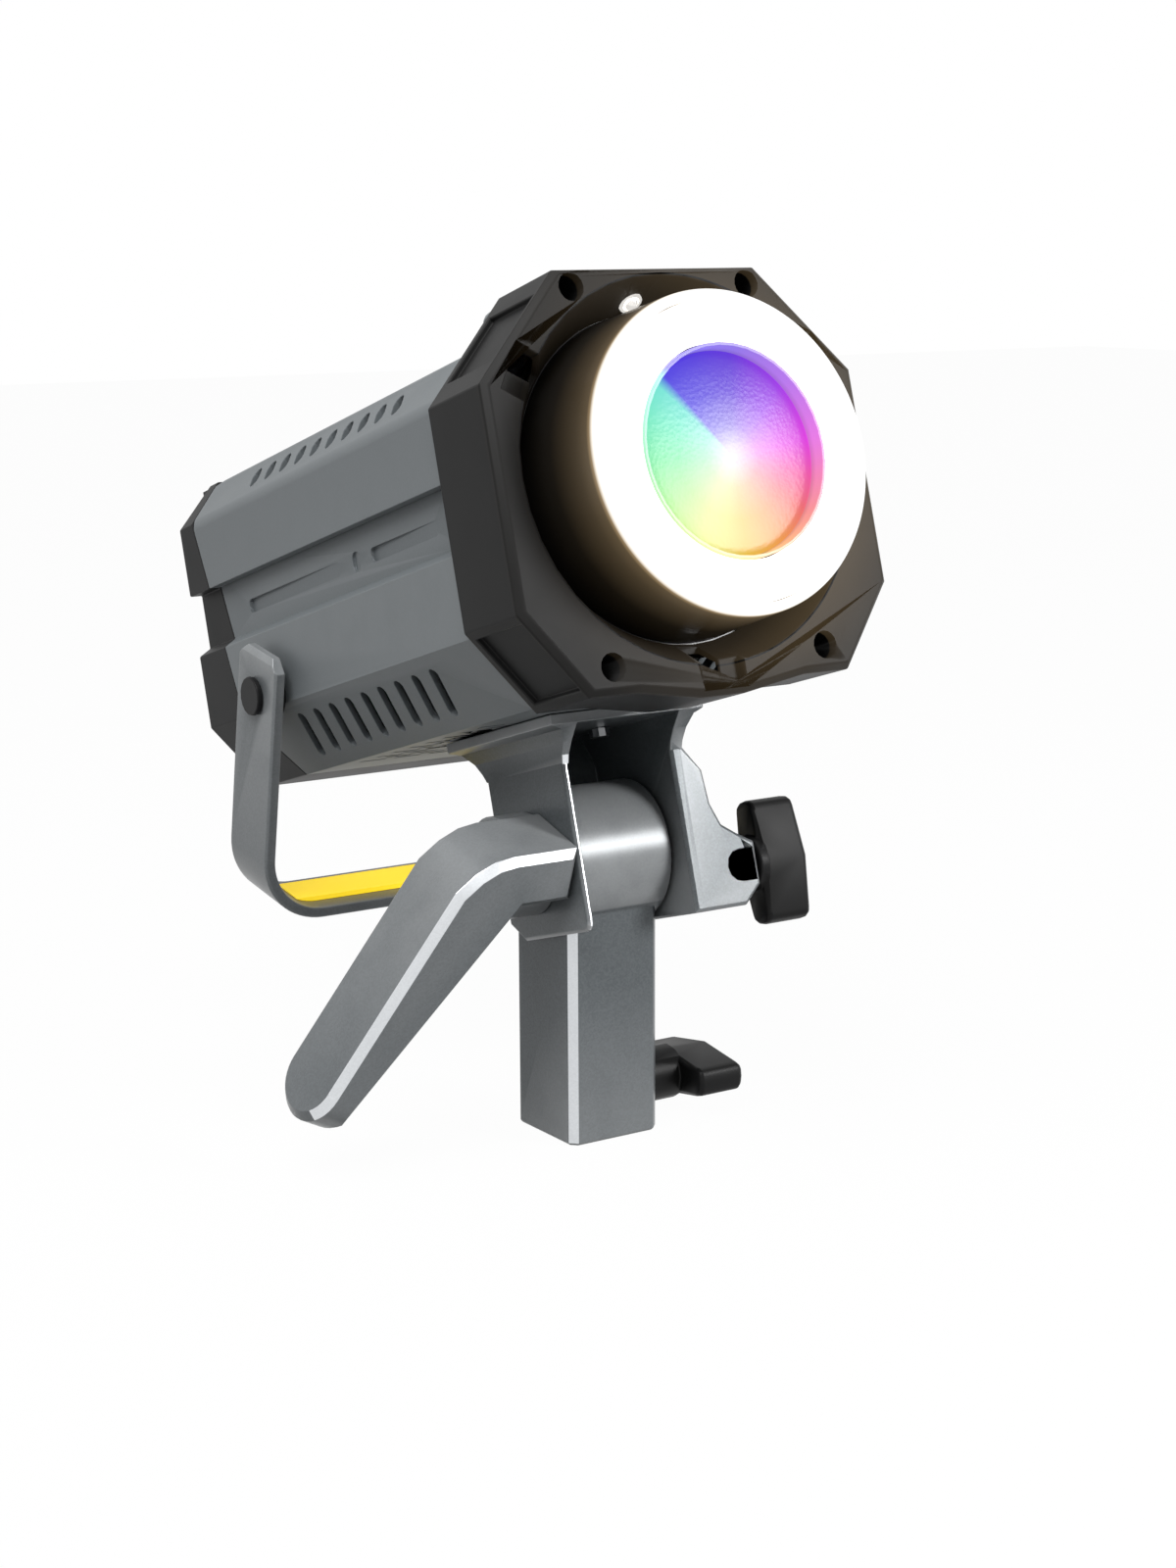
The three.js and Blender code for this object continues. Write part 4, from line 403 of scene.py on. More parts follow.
# Shader node groups
def new_group(name, inputs, outputs):
    """A shader node group with named sockets, given as (name, kind, default)."""
    group = bpy.data.node_groups.new(name, "ShaderNodeTree")
    for label, kind, default in inputs:
        socket = group.interface.new_socket(name=label, in_out="INPUT", socket_type=kind)
        if default is not None:
            socket.default_value = default
    for label, kind in outputs:
        group.interface.new_socket(name=label, in_out="OUTPUT", socket_type=kind)
    start = group.nodes.new("NodeGroupInput")
    end = group.nodes.new("NodeGroupOutput")
    return group, start, end


def feed(tree, made, **values):
    """Feeds a node's inputs, named with _ for a space, by sockets, numbers, vectors or colours."""
    for key, value in values.items():
        fill_socket(tree, made.inputs[key.replace("_", " ")], value)


def fill_socket(tree, socket, value):
    """Links a socket to an input, or sets the input's own value."""
    if isinstance(value, bpy.types.NodeSocket):
        tree.links.new(value, socket)
    elif socket.type == "RGBA":
        socket.default_value = (*value[:3], 1)
    else:
        socket.default_value = value


def node(tree, kind, **settings):
    """A new node in a tree. Keys that name inputs feed them, and all others are attributes."""
    made = tree.nodes.new(kind)
    for key, value in settings.items():
        if key.replace("_", " ") in made.inputs:
            feed(tree, made, **{key: value})
        else:
            setattr(made, key, value)
    return made


def maths(tree, operation, first, second=None, clamp=False):
    """A Math node fed by sockets or numbers."""
    made = node(tree, "ShaderNodeMath", operation=operation, use_clamp=clamp)
    fill_socket(tree, made.inputs[0], first)
    if second is not None:
        fill_socket(tree, made.inputs[1], second)
    return made.outputs[0]


def blend_colours(tree, factor, first, second, mode="MIX"):
    """A colour Mix node fed by sockets or colours."""
    made = node(tree, "ShaderNodeMix", data_type="RGBA", blend_type=mode)
    sockets = [s for s in made.inputs if s.enabled]
    for socket, value in zip(sockets, [factor, first, second]):
        fill_socket(tree, socket, value)
    return next(s for s in made.outputs if s.enabled)


def even_colour(tree, level):
    """A grey of a level that changes over the surface."""
    return node(tree, "ShaderNodeCombineColor", Red=level, Green=level, Blue=level).outputs[0]


def ramp(tree, factor, stops):
    """A colour ramp with (position, colour) stops."""
    made = tree.nodes.new("ShaderNodeValToRGB")
    elements = made.color_ramp.elements
    while len(elements) > 1:
        elements.remove(elements[-1])
    for i, (position, colour) in enumerate(stops):
        element = elements[0] if i == 0 else elements.new(position)
        element.position = position
        element.color = (*colour, 1)
    tree.links.new(factor, made.inputs[0])
    return made.outputs[0]


@functools.cache
def grain_group():
    """Fine moulding or paint grain: a height for Bump, and a mottled roughness."""
    group, start, end = new_group(
        "Surface Grain",
        [("Vector", VECTOR, None), ("Grain Size", FLOAT, 0.0004),
         ("Roughness", FLOAT, 0.5), ("Spread", FLOAT, 0.08)],
        [("Height", FLOAT), ("Roughness", FLOAT), ("Mottle", FLOAT)],
    )
    scale = maths(group, "DIVIDE", 1, start.outputs["Grain Size"])
    place = start.outputs["Vector"]
    fine = node(group, "ShaderNodeTexNoise", Vector=place, Scale=scale, Detail=3, Roughness=0.6)
    wide = node(group, "ShaderNodeTexNoise", Vector=place, Scale=70, Detail=4)
    swing = maths(group, "SUBTRACT", wide.outputs[0], 0.5)
    swing = maths(group, "MULTIPLY", swing, start.outputs["Spread"])
    rough = maths(group, "ADD", swing, start.outputs["Roughness"], clamp=True)
    feed(group, end, Height=fine.outputs[0], Roughness=rough, Mottle=wide.outputs[0])
    return group


@functools.cache
def worn_and_highlit_edge_group():
    """Paint rubbed thin along the edges, and a painted highlight along them: mixes in a brighter colour
    where the surface is pointed.
    """
    group, start, end = new_group(
        "Worn And Highlit Edges",
        [("Pointiness", FLOAT, 0.5), ("Mottle", FLOAT, 0.5),
         ("Paint", COLOUR, (0.1, 0.1, 0.1, 1)), ("Edge", COLOUR, (0.5, 0.5, 0.5, 1)),
         ("Amount", FLOAT, 0.5)],
        [("Colour", COLOUR)],
    )
    over = maths(group, "SUBTRACT", start.outputs["Pointiness"], WORN_AND_LIT_FROM)
    mask = maths(group, "MULTIPLY", over, WORN_AND_LIT_RISE, clamp=True)
    patchy = maths(group, "ADD", start.outputs["Mottle"], WORN_AND_LIT_LEAST, clamp=True)
    mask = maths(group, "MULTIPLY", mask, patchy)
    mask = maths(group, "MULTIPLY", mask, start.outputs["Amount"], clamp=True)
    feed(group, end, Colour=blend_colours(group, mask, start.outputs["Paint"], start.outputs["Edge"]))
    return group


@functools.cache
def flake_group():
    """Metal flake in a cast or painted surface: small cells that are lighter or darker than the rest."""
    group, start, end = new_group(
        "Metal Flake",
        [("Vector", VECTOR, None), ("Flake Size", FLOAT, 0.0005),
         ("Colour", COLOUR, (0.2, 0.2, 0.2, 1)), ("Amount", FLOAT, 0.2)],
        [("Colour", COLOUR)],
    )
    scale = maths(group, "DIVIDE", 1, start.outputs["Flake Size"])
    cells = node(group, "ShaderNodeTexVoronoi", Vector=start.outputs["Vector"], Scale=scale)
    shade = node(group, "ShaderNodeSeparateColor", Color=cells.outputs["Color"])
    swing = maths(group, "SUBTRACT", shade.outputs[0], 0.5)
    swing = maths(group, "MULTIPLY", swing, start.outputs["Amount"])
    level = maths(group, "ADD", swing, 1)
    shade = even_colour(group, level)
    feed(group, end, Colour=blend_colours(group, 1.0, start.outputs["Colour"], shade, "MULTIPLY"))
    return group


def from_axis(tree, across, up):
    """Distance of a place from an axis, by its two distances across it."""
    squares = [maths(tree, "MULTIPLY", way, way) for way in (across, up)]
    return maths(tree, "SQRT", maths(tree, "ADD", *squares))


@functools.cache
def glow_group():
    """Light that spills from the ring: falls off with the distance from the ring's front edge."""
    group, start, end = new_group(
        "Ring Spill",
        [("Vector", VECTOR, None), ("Radius", FLOAT, 0.042),
         ("Depth", FLOAT, -0.0215), ("Reach", FLOAT, 0.03)],
        [("Spill", FLOAT), ("Radius", FLOAT), ("Side", FLOAT), ("Along", FLOAT)],
    )
    parts = node(group, "ShaderNodeSeparateXYZ", Vector=start.outputs["Vector"])
    x, y, z = parts.outputs
    radius = from_axis(group, x, z)
    out = maths(group, "SUBTRACT", radius, start.outputs["Radius"])
    behind = maths(group, "SUBTRACT", y, start.outputs["Depth"])
    share = maths(group, "DIVIDE", from_axis(group, out, behind), start.outputs["Reach"], clamp=True)
    left = maths(group, "SUBTRACT", 1, share)
    spill = maths(group, "POWER", left, 2)
    side = maths(group, "DIVIDE", x, maths(group, "MAXIMUM", radius, MM))
    feed(group, end, Spill=spill, Radius=radius, Side=side, Along=y)
    return group


@functools.cache
def wheel_group():
    """Mixed colours of the lit lens: hues run round the axis, with a sharp step from mint to blue."""
    group, start, end = new_group(
        "Colour Wheel",
        [("Vector", VECTOR, None)],
        [("Hue", COLOUR), ("Radius", FLOAT)],
    )
    parts = node(group, "ShaderNodeSeparateXYZ", Vector=start.outputs["Vector"])
    x = maths(group, "SUBTRACT", parts.outputs[0], WHEEL_RIGHT)
    z = maths(group, "ADD", parts.outputs[2], WHEEL_DOWN)
    turn = maths(group, "DIVIDE", maths(group, "ARCTAN2", x, z), FULL_TURN)
    turn = maths(group, "ADD", turn, 0.5)
    hues = ramp(
        group, turn,
        [(0.0, tone(242, 196, 62)), (0.08, tone(235, 240, 120)), (0.17, tone(176, 245, 140)),
         (0.25, tone(128, 242, 170)), (0.32, tone(122, 245, 205)), (0.375, tone(118, 238, 222)),
         (0.395, tone(78, 62, 236)), (0.46, tone(84, 52, 230)), (0.53, tone(100, 48, 226)),
         (0.63, tone(165, 56, 240)), (0.73, tone(232, 58, 232)), (0.79, tone(246, 82, 172)),
         (0.85, tone(246, 108, 112)), (0.92, tone(246, 156, 74)), (1.0, tone(242, 196, 62))])
    feed(group, end, Hue=hues, Radius=from_axis(group, x, z))
    return group


def place_group(tree, group, **values):
    """Places a shared group in a material, with its inputs fed."""
    return node(tree, "ShaderNodeGroup", node_tree=group(), **values)


def start_material(name):
    """A material with its tree, its shader and its Object coordinates."""
    material = bpy.data.materials.new(name)
    material.use_nodes = True
    tree = material.node_tree
    shader = tree.nodes["Principled BSDF"]
    place = node(tree, "ShaderNodeTexCoord").outputs["Object"]
    return material, tree, shader, place


def head_coordinates(tree, place):
    """Object coordinates turned into the head's own axes."""
    back = HEAD.inverted()
    mapping = node(
        tree, "ShaderNodeMapping", vector_type="POINT", Vector=place, Location=back.to_translation(),
        Rotation=back.to_euler())
    return mapping.outputs[0]


def bump(tree, shader, height, strength, distance):
    """Feeds a height to a shader's normal."""
    made = node(tree, "ShaderNodeBump", Strength=strength, Distance=distance, Height=height)
    feed(tree, shader, Normal=made.outputs[0])


def grained(tree, shader, place, size, roughness, spread=0.08):
    """Gives a shader a mottled roughness, and returns the grain's node for its height and mottle."""
    fine = place_group(
        tree, grain_group, Vector=place, Grain_Size=size, Roughness=roughness, Spread=spread)
    feed(tree, shader, Roughness=fine.outputs["Roughness"])
    return fine


def worn_and_highlit_paint(tree, fine, paint, edge, wear_and_highlight):
    """A paint that turns to its edge colour where the surface is pointed: partly wear, partly a painted edge
    highlight.
    """
    shape = node(tree, "ShaderNodeNewGeometry")
    return place_group(
        tree, worn_and_highlit_edge_group, Pointiness=shape.outputs["Pointiness"], Mottle=fine.outputs["Mottle"],
        Paint=paint, Edge=edge, Amount=wear_and_highlight).outputs["Colour"]


def painted(name, colour, edge, roughness, grain, wear_and_highlight, bump_strength, flake=0.0, metallic=0.0,
            specular=0.5, spread=0.1, lit=0.0):
    """Paint, moulded plastic or cast metal with grain, flake and bright edges, partly rubbed and partly a
    painted highlight.
    """
    material, tree, shader, place = start_material(name)
    fine = grained(tree, shader, place, grain, roughness, spread)
    flakes = place_group(
        tree, flake_group, Vector=place, Flake_Size=grain * FLAKE_SHARE, Colour=colour, Amount=flake)
    paint = worn_and_highlit_paint(tree, fine, flakes.outputs["Colour"], edge, wear_and_highlight)
    feed(tree, shader, Base_Color=paint, Metallic=metallic, Specular_IOR_Level=specular)
    if lit:
        feed(tree, shader, Emission_Color=paint, Emission_Strength=lit)
    bump(tree, shader, fine.outputs["Height"], bump_strength, grain * HEIGHT_SHARE)
    return material


@functools.cache
def metal(name):
    """Machined metal with fine turning marks and mottled roughness."""
    colour, roughness, marks, height = METALS[name]
    edge = tuple(min(1, c * WORN_AND_LIT_GAIN) for c in colour)
    return painted(
        name, colour, edge, roughness, marks, wear_and_highlight=0.3, bump_strength=height,
        flake=0.08, metallic=1, spread=0.15)


class FinishColours(bpy.types.PropertyGroup):
    """Colours of the light's finishes."""

    case: FloatVectorProperty(
        name="Case paint", description="Slate grey paint of the case shells",
        subtype="COLOR", size=3, min=0, max=1, default=(0.15, 0.166, 0.175))
    cast: FloatVectorProperty(
        name="Cast metal", description="Slate grey coat of the yoke, post, lever and bail",
        subtype="COLOR", size=3, min=0, max=1, default=(0.128, 0.142, 0.15))
    # Edge colour of the castings: partly bare metal where worn, partly a painted highlight along the edges
    cast_edge_wear_and_highlight: FloatVectorProperty(
        name="Bright edges", description="Metal that shows along the cast pieces' edges",
        subtype="COLOR", size=3, min=0, max=1, default=(0.75, 0.76, 0.77))
    bezel: FloatVectorProperty(
        name="Bezel plastic", description="Charcoal plastic of the front bezel and rear cap",
        subtype="COLOR", size=3, min=0, max=1, default=(0.011, 0.011, 0.011))
    grip: FloatVectorProperty(
        name="Bail grip", description="Yellow sleeve inside the bail's crossbar",
        subtype="COLOR", size=3, min=0, max=1, default=(1.0, 0.72, 0.008))
    spill: FloatVectorProperty(
        name="Warm spill", description="Tint of the light that spills over the collar and bezel",
        subtype="COLOR", size=3, min=0, max=1, default=(1.0, 0.7, 0.36))


class LensSizes(bpy.types.PropertyGroup):
    """Sizes of the collar, glowing ring and lens."""

    collar_front: FloatProperty(
        name="Collar front radius", description="Radius of the collar's front lip",
        default=44 * MM, unit="LENGTH")
    collar_rear: FloatProperty(
        name="Collar rear radius", description="Radius of the collar where it meets the funnel",
        default=45.6 * MM, unit="LENGTH")
    collar_fillet: FloatProperty(
        name="Collar fillet", description="Round on the collar's front lip", default=3 * MM, unit="LENGTH")
    collar_wall: FloatProperty(
        name="Collar wall", description="Thickness of the collar's wall", default=2.4 * MM, unit="LENGTH")
    sides: IntProperty(
        name="Round sides", description="Sides of the large round pieces", default=160, min=24)


class StageSettings(bpy.types.PropertyGroup):
    """The camera's place and the studio's light."""

    azimuth: FloatProperty(
        name="Azimuth", description="Camera direction about the vertical, 0 looks along +Y",
        default=math.radians(-33.487), unit="ROTATION")
    elevation: FloatProperty(
        name="Elevation", description="Camera height above the horizon",
        default=math.radians(11.32), unit="ROTATION")
    roll: FloatProperty(
        name="Roll", description="Camera turn about its own line of sight",
        default=math.radians(-0.2776), unit="ROTATION")
    distance: FloatProperty(
        name="Distance", description="From the camera to the point it looks at",
        default=743.4 * MM, unit="LENGTH")
    aim: FloatVectorProperty(
        name="Aim", description="Point that the camera looks at", size=3, unit="LENGTH",
        default=(-32.61 * MM, -50.4 * MM, 115.73 * MM))
    lens: FloatProperty(
        name="Lens", description="Focal length in millimetres on a 36 mm sensor", default=63.47)
    ambient: FloatProperty(
        name="Ambient", description="Level of the soft light from all round", default=0.2, min=0)
    key: FloatProperty(
        name="Top lamp", description="Power of the large soft lamp above in watts", default=16.0, min=0)
    fill: FloatProperty(
        name="Front lamp", description="Power of the small front lamp in watts", default=7.5, min=0)


def settings():
    """The scene's settings for this light."""
    scene = bpy.context.scene
    return scene.light_colours, scene.light_lens, scene.light_stage


@functools.cache
def case_paint():
    """Slate grey paint of the case shells."""
    return painted(
        "case_paint", settings()[0].case, (0.36, 0.38, 0.39), roughness=0.5, grain=0.3 * MM,
        wear_and_highlight=0.25, bump_strength=0.1, flake=0.06, metallic=0.15, specular=0.3)


@functools.cache
def cast_metal():
    """Slate grey coat of the castings."""
    colours = settings()[0]
    return painted(
        "cast_metal", colours.cast, colours.cast_edge_wear_and_highlight, roughness=0.3, grain=0.35 * MM,
        wear_and_highlight=0.6, bump_strength=0.12, flake=0.22, metallic=0.15, specular=0.22)


@functools.cache
def charcoal():
    """Charcoal plastic of the rear."""
    return painted(
        "charcoal_plastic", settings()[0].bezel, (0.035, 0.035, 0.037), roughness=0.5, grain=0.35 * MM,
        wear_and_highlight=0.4, bump_strength=0.12, flake=0.03, specular=0.14)


@functools.cache
def satin_black():
    """Black plastic of the grips, dials and small fittings."""
    return painted(
        "satin_black_plastic", grey(0.004), (0.03, 0.03, 0.032), roughness=0.42, grain=0.4 * MM,
        wear_and_highlight=0.4, bump_strength=0.1, specular=0.14)


@functools.cache
def soft_rubber():
    """Dull rubber of the buttons and friction discs."""
    return painted(
        "soft_rubber", (0.014, 0.014, 0.015), grey(0.04), roughness=0.75, grain=0.5 * MM,
        wear_and_highlight=0.4, bump_strength=0.3, specular=0.25)


@functools.cache
def yellow_sleeve():
    """Yellow sleeve of the bail, with painted light: it glows a little of itself, so that it stays bright
    inside the bail's shade.
    """
    return painted(
        "yellow_sleeve", settings()[0].grip, (1.0, 0.7, 0.1), roughness=0.5, grain=0.5 * MM,
        wear_and_highlight=0.2, bump_strength=0.15, specular=0.4, lit=0.66)


@functools.cache
def lit_steel():
    """Bright steel right beside the glowing ring, which glows of itself: a painted highlight and painted
    light from the ring.
    """
    return painted(
        "lit_steel", (0.9, 0.86, 0.8), grey(1.0), roughness=0.2, grain=0.5 * MM,
        wear_and_highlight=0.3, bump_strength=0.05, metallic=1, spread=0.15, lit=0.75)


@functools.cache
def phosphor():
    """Yellow layer over the light source."""
    return painted(
        "phosphor_layer", (0.88, 0.65, 0.08), (0.95, 0.8, 0.3), roughness=0.7, grain=0.4 * MM,
        wear_and_highlight=0.1, bump_strength=0.3, flake=0.2)


@functools.cache
def circuit_board():
    """Green board with a copper pattern under its lacquer."""
    material, tree, shader, place = start_material("circuit_board")
    tracks = node(
        tree, "ShaderNodeTexBrick", Vector=place, Scale=160, offset=0.3, Color1=(0.012, 0.1, 0.04),
        Color2=(0.01, 0.075, 0.03), Mortar=(0.03, 0.17, 0.07))
    feed(tree, shader, Base_Color=tracks.outputs["Color"])
    grained(tree, shader, place, 0.6 * MM, 0.35)
    return material


def lit_plastic(name, colour, roughness, specular, reach, spill, radius=41.5 * MM, coat=0.0, right=0.0,
                seam=0.0):
    """Black plastic beside the ring, with the ring's warm spill fading over it.

    spill holds the stops of its fade, as (closeness, colour); seam is the radius of a fine dark joint line.
    """
    material, tree, shader, place = start_material(name)
    grain = 0.35 * MM
    fine = grained(tree, shader, place, grain, roughness)
    paint = worn_and_highlit_paint(tree, fine, colour, [3 * c for c in colour], 0.5)
    feed(
        tree, shader, Base_Color=paint, Specular_IOR_Level=specular, Coat_Weight=coat,
        Coat_Roughness=0.15)
    head = head_coordinates(tree, place)
    near = place_group(tree, glow_group, Vector=head, Radius=radius, Depth=SPILL_DEPTH, Reach=reach)
    side = maths(tree, "MULTIPLY", near.outputs["Side"], right)
    level = maths(tree, "MULTIPLY", near.outputs["Spill"], maths(tree, "ADD", side, 1))
    hot = ramp(tree, level, spill)
    if seam:
        off = maths(tree, "ABSOLUTE", maths(tree, "SUBTRACT", near.outputs["Radius"], seam))
        line = maths(tree, "GREATER_THAN", off, SEAM_HALF_WIDTH)
        deep = maths(tree, "GREATER_THAN", near.outputs["Along"], WELLS_FROM)
        outside = maths(tree, "GREATER_THAN", near.outputs["Radius"], seam)
        open_to_light = maths(tree, "SUBTRACT", 1, maths(tree, "MULTIPLY", deep, outside))
        shade = even_colour(tree, maths(tree, "MULTIPLY", line, open_to_light))
        hot = blend_colours(tree, 1.0, hot, shade, "MULTIPLY")
    feed(tree, shader, Emission_Color=hot, Emission_Strength=1)
    bump(tree, shader, fine.outputs["Height"], 0.1, grain * HEIGHT_SHARE)
    return material


def warm(share):
    """The spill's colour at a share of its full strength."""
    return tuple(c * share for c in settings()[0].spill)


@functools.cache
def glowing_ring():
    """Lit diffuser: milky white, a little warmer and less bright towards its edges."""
    material, tree, shader, place = start_material("lit_diffuser")
    head = head_coordinates(tree, place)
    spill = place_group(tree, glow_group, Vector=head, Radius=35 * MM, Reach=20 * MM)
    colour = ramp(
        tree, spill.outputs["Spill"],
        [(0.0, (1.0, 0.86, 0.66)), (0.35, (1.0, 0.97, 0.93)), (1.0, grey(1))])
    grained(tree, shader, place, 0.5 * MM, 0.4)
    feed(tree, shader, Base_Color=(0.93, 0.9, 0.82), Emission_Color=colour, Emission_Strength=1.6)
    return material


@functools.cache
def colour_wheel_lens():
    """Front lens lit by mixed colours, which fade to white in the middle."""
    material, tree, shader, place = start_material("lit_lens")
    wheel = place_group(tree, wheel_group, Vector=head_coordinates(tree, place))
    share = maths(tree, "DIVIDE", wheel.outputs["Radius"], LENS_LIT_RADIUS, clamp=True)
    depth = ramp(
        tree, share,
        [(0.0, grey(0)), (0.1, grey(0.22)), (0.3, grey(0.7)), (0.6, grey(0.94)), (1.0, grey(1))])
    colour = blend_colours(tree, depth, tone(246, 238, 250), wheel.outputs["Hue"])
    feed(
        tree, shader, Base_Color=(0.02, 0.02, 0.025), Specular_IOR_Level=0.15, Emission_Color=colour,
        Emission_Strength=0.88)
    fine = node(tree, "ShaderNodeTexVoronoi", Vector=place, Scale=900)
    bump(tree, shader, fine.outputs["Distance"], 0.2, 0.1 * MM)
    grained(tree, shader, place, 0.4 * MM, 0.2)
    return material


@functools.cache
def lit_sleeve():
    """Black sleeve whose front edge and bore glow pale in the colours of the lens inside it."""
    material, tree, shader, place = start_material("sleeve_lit")
    head = head_coordinates(tree, place)
    wheel = place_group(tree, wheel_group, Vector=head)
    near = place_group(
        tree, glow_group, Vector=head, Radius=LENS_LIT_RADIUS, Depth=-20.5 * MM, Reach=9 * MM)
    pale = blend_colours(tree, 0.2, wheel.outputs["Hue"], (1.0, 0.9, 0.93))
    level = ramp(tree, near.outputs["Spill"], [(0.0, grey(0)), (0.2, grey(0.7)), (0.6, grey(1))])
    colour = blend_colours(tree, 1.0, pale, level, "MULTIPLY")
    feed(tree, shader, Base_Color=(0.015, 0.015, 0.016), Emission_Color=colour, Emission_Strength=0.9)
    fine = grained(tree, shader, place, 0.4 * MM, 0.35)
    bump(tree, shader, fine.outputs["Height"], 0.1, 0.1 * MM)
    return material


@functools.cache
def dark_window():
    """Dark display window with a faint lit line pattern of plain bars behind it."""
    material, tree, shader, place = start_material("display_glass")
    grained(tree, shader, place, 2 * MM, 0.08, spread=0.04)
    turn = node(
        tree, "ShaderNodeMapping", Vector=head_coordinates(tree, place), Rotation=(QUARTER, 0, 0))
    bars = node(
        tree, "ShaderNodeTexBrick", Vector=turn.outputs[0], Scale=90, offset=0.0, Mortar_Size=0.03,
        Color1=(0.16, 0.42, 0.55), Color2=(0.1, 0.28, 0.4), Mortar=grey(0))
    feed(
        tree, shader, Base_Color=(0.01, 0.012, 0.014), Coat_Weight=1, Emission_Color=bars.outputs["Color"],
        Emission_Strength=0.12)
    return material


def seen_directly(tree):
    """One for what the camera sees, also in reflections and through glass, and zero for all other light."""
    path = node(tree, "ShaderNodeLightPath")
    seen = maths(tree, "MAXIMUM", path.outputs["Is Camera Ray"], path.outputs["Is Glossy Ray"])
    return maths(tree, "MAXIMUM", seen, path.outputs["Is Transmission Ray"])


def mix_shaders(tree, factor, first, second, end):
    """Mixes two shaders into the surface of an output."""
    mixed = node(tree, "ShaderNodeMixShader")
    for socket, value in zip(mixed.inputs, [factor, first.outputs[0], second.outputs[0]]):
        tree.links.new(value, socket)
    feed(tree, tree.nodes[end], Surface=mixed.outputs[0])


class LIGHT_OT_stage(bpy.types.Operator):
    """Makes the floor, the world, the lamps and the camera"""

    bl_idname = "video_light.stage"
    bl_label = "Studio"

    def execute(self, context):
        stage = settings()[2]
        self.floor()
        self.world(stage)
        self.lamps(stage)
        self.camera(stage)
        return {"FINISHED"}

    def floor(self):
        """White floor under the light, grey to the light that falls on it."""
        bpy.ops.object.select_all(action="DESELECT")
        bpy.ops.mesh.primitive_plane_add(size=FLOOR_SIZE, location=(0, 0, CAD_BOX[0].z))
        floor = bpy.context.object
        floor.name = "studio_floor"
        material = bpy.data.materials.new("studio_floor")
        material.use_nodes = True
        tree = material.node_tree
        shader = tree.nodes["Principled BSDF"]
        feed(tree, shader, Base_Color=grey(FLOOR_SHADE), Roughness=0.9, Specular_IOR_Level=0.0)
        lit = node(tree, "ShaderNodeEmission", Strength=FLOOR_WHITE)
        seen = maths(tree, "MULTIPLY", seen_directly(tree), FLOOR_SEEN)
        mix_shaders(tree, seen, shader, lit, "Material Output")
        floor.data.materials.append(material)

    def world(self, stage):
        """Soft light from all round, seen as white."""
        world = bpy.data.worlds.new("studio_world")
        bpy.context.scene.world = world
        world.use_nodes = True
        tree = world.node_tree
        plain = tree.nodes["Background"]
        feed(tree, plain, Color=grey(1), Strength=stage.ambient)
        white = node(tree, "ShaderNodeBackground", Color=grey(1), Strength=1.0)
        mix_shaders(tree, seen_directly(tree), plain, white, "World Output")

    def lamps(self, stage):
        """Square lamps that face the middle of the light."""
        middle = (CAD_BOX[0] + CAD_BOX[1]) / 2
        for name, (place, size), power in (
                ("top_lamp", TOP_LAMP, stage.key), ("front_lamp", FRONT_LAMP, stage.fill)):
            bpy.ops.object.select_all(action="DESELECT")
            bpy.ops.object.light_add(type="AREA", location=place)
            lamp = bpy.context.object
            lamp.name = name
            lamp.data.shape = "SQUARE"
            lamp.data.size = size
            lamp.data.energy = power
            lamp.rotation_euler = (middle - Vector(place)).to_track_quat("-Z", "Y").to_euler()

    def camera(self, stage):
        """Camera at its distance from the point it looks at."""
        a, e = stage.azimuth, stage.elevation
        back = Vector((math.sin(a) * math.cos(e), -math.cos(a) * math.cos(e), math.sin(e)))
        bpy.ops.object.select_all(action="DESELECT")
        bpy.ops.object.camera_add(location=Vector(stage.aim) + back * stage.distance)
        camera = bpy.context.object
        camera.name = "studio_camera"
        turn = (-back).to_track_quat("-Z", "Y").to_matrix() @ Matrix.Rotation(stage.roll, 3, "Z")
        camera.rotation_euler = turn.to_euler()
        camera.data.lens = stage.lens
        camera.data.sensor_width = SENSOR_WIDTH
        bpy.context.scene.camera = camera


class LIGHT_OT_case(bpy.types.Operator):
    """Makes the upper and lower case shells with softened creases and pressed edges"""

    bl_idname = "video_light.case"
    bl_label = "Case shells"

    def execute(self, context):
        for cad, name, farthest, width in (
                ("upper_shell", "case_top", max, CASE_TOP_CREASE),
                ("lower_shell", "case_base", min, CASE_BASE_CREASE)):
            creases = self.corner_lines(cad, farthest)
            shell = copy_of(cad, name)
            round_creases(shell, creases, width, CREASE_STEPS)
            soften(shell, CASE_EDGE)
            finish_piece(shell, "head", case_paint(), [cad])
        return {"FINISHED"}

    def corner_lines(self, name, farthest):
        """The (x, z) places of the two outer creases of a shell, from the rear half of its own mesh."""
        back = HEAD.inverted()
        low, high = head_box(name)
        points = [back @ v.co for v in frame["nodes"][name].data.vertices]
        points = [p for p in points if p.y > (low.y + high.y) / 2]
        flat = farthest(p.z for p in points)
        on_flat = [abs(p.x) for p in points if abs(p.z - flat) < ON_PLANE]
        on_side = [p.z for p in points if abs(abs(p.x) - high.x) < ON_PLANE]
        return [(max(on_flat), flat), (high.x, farthest(on_side))]


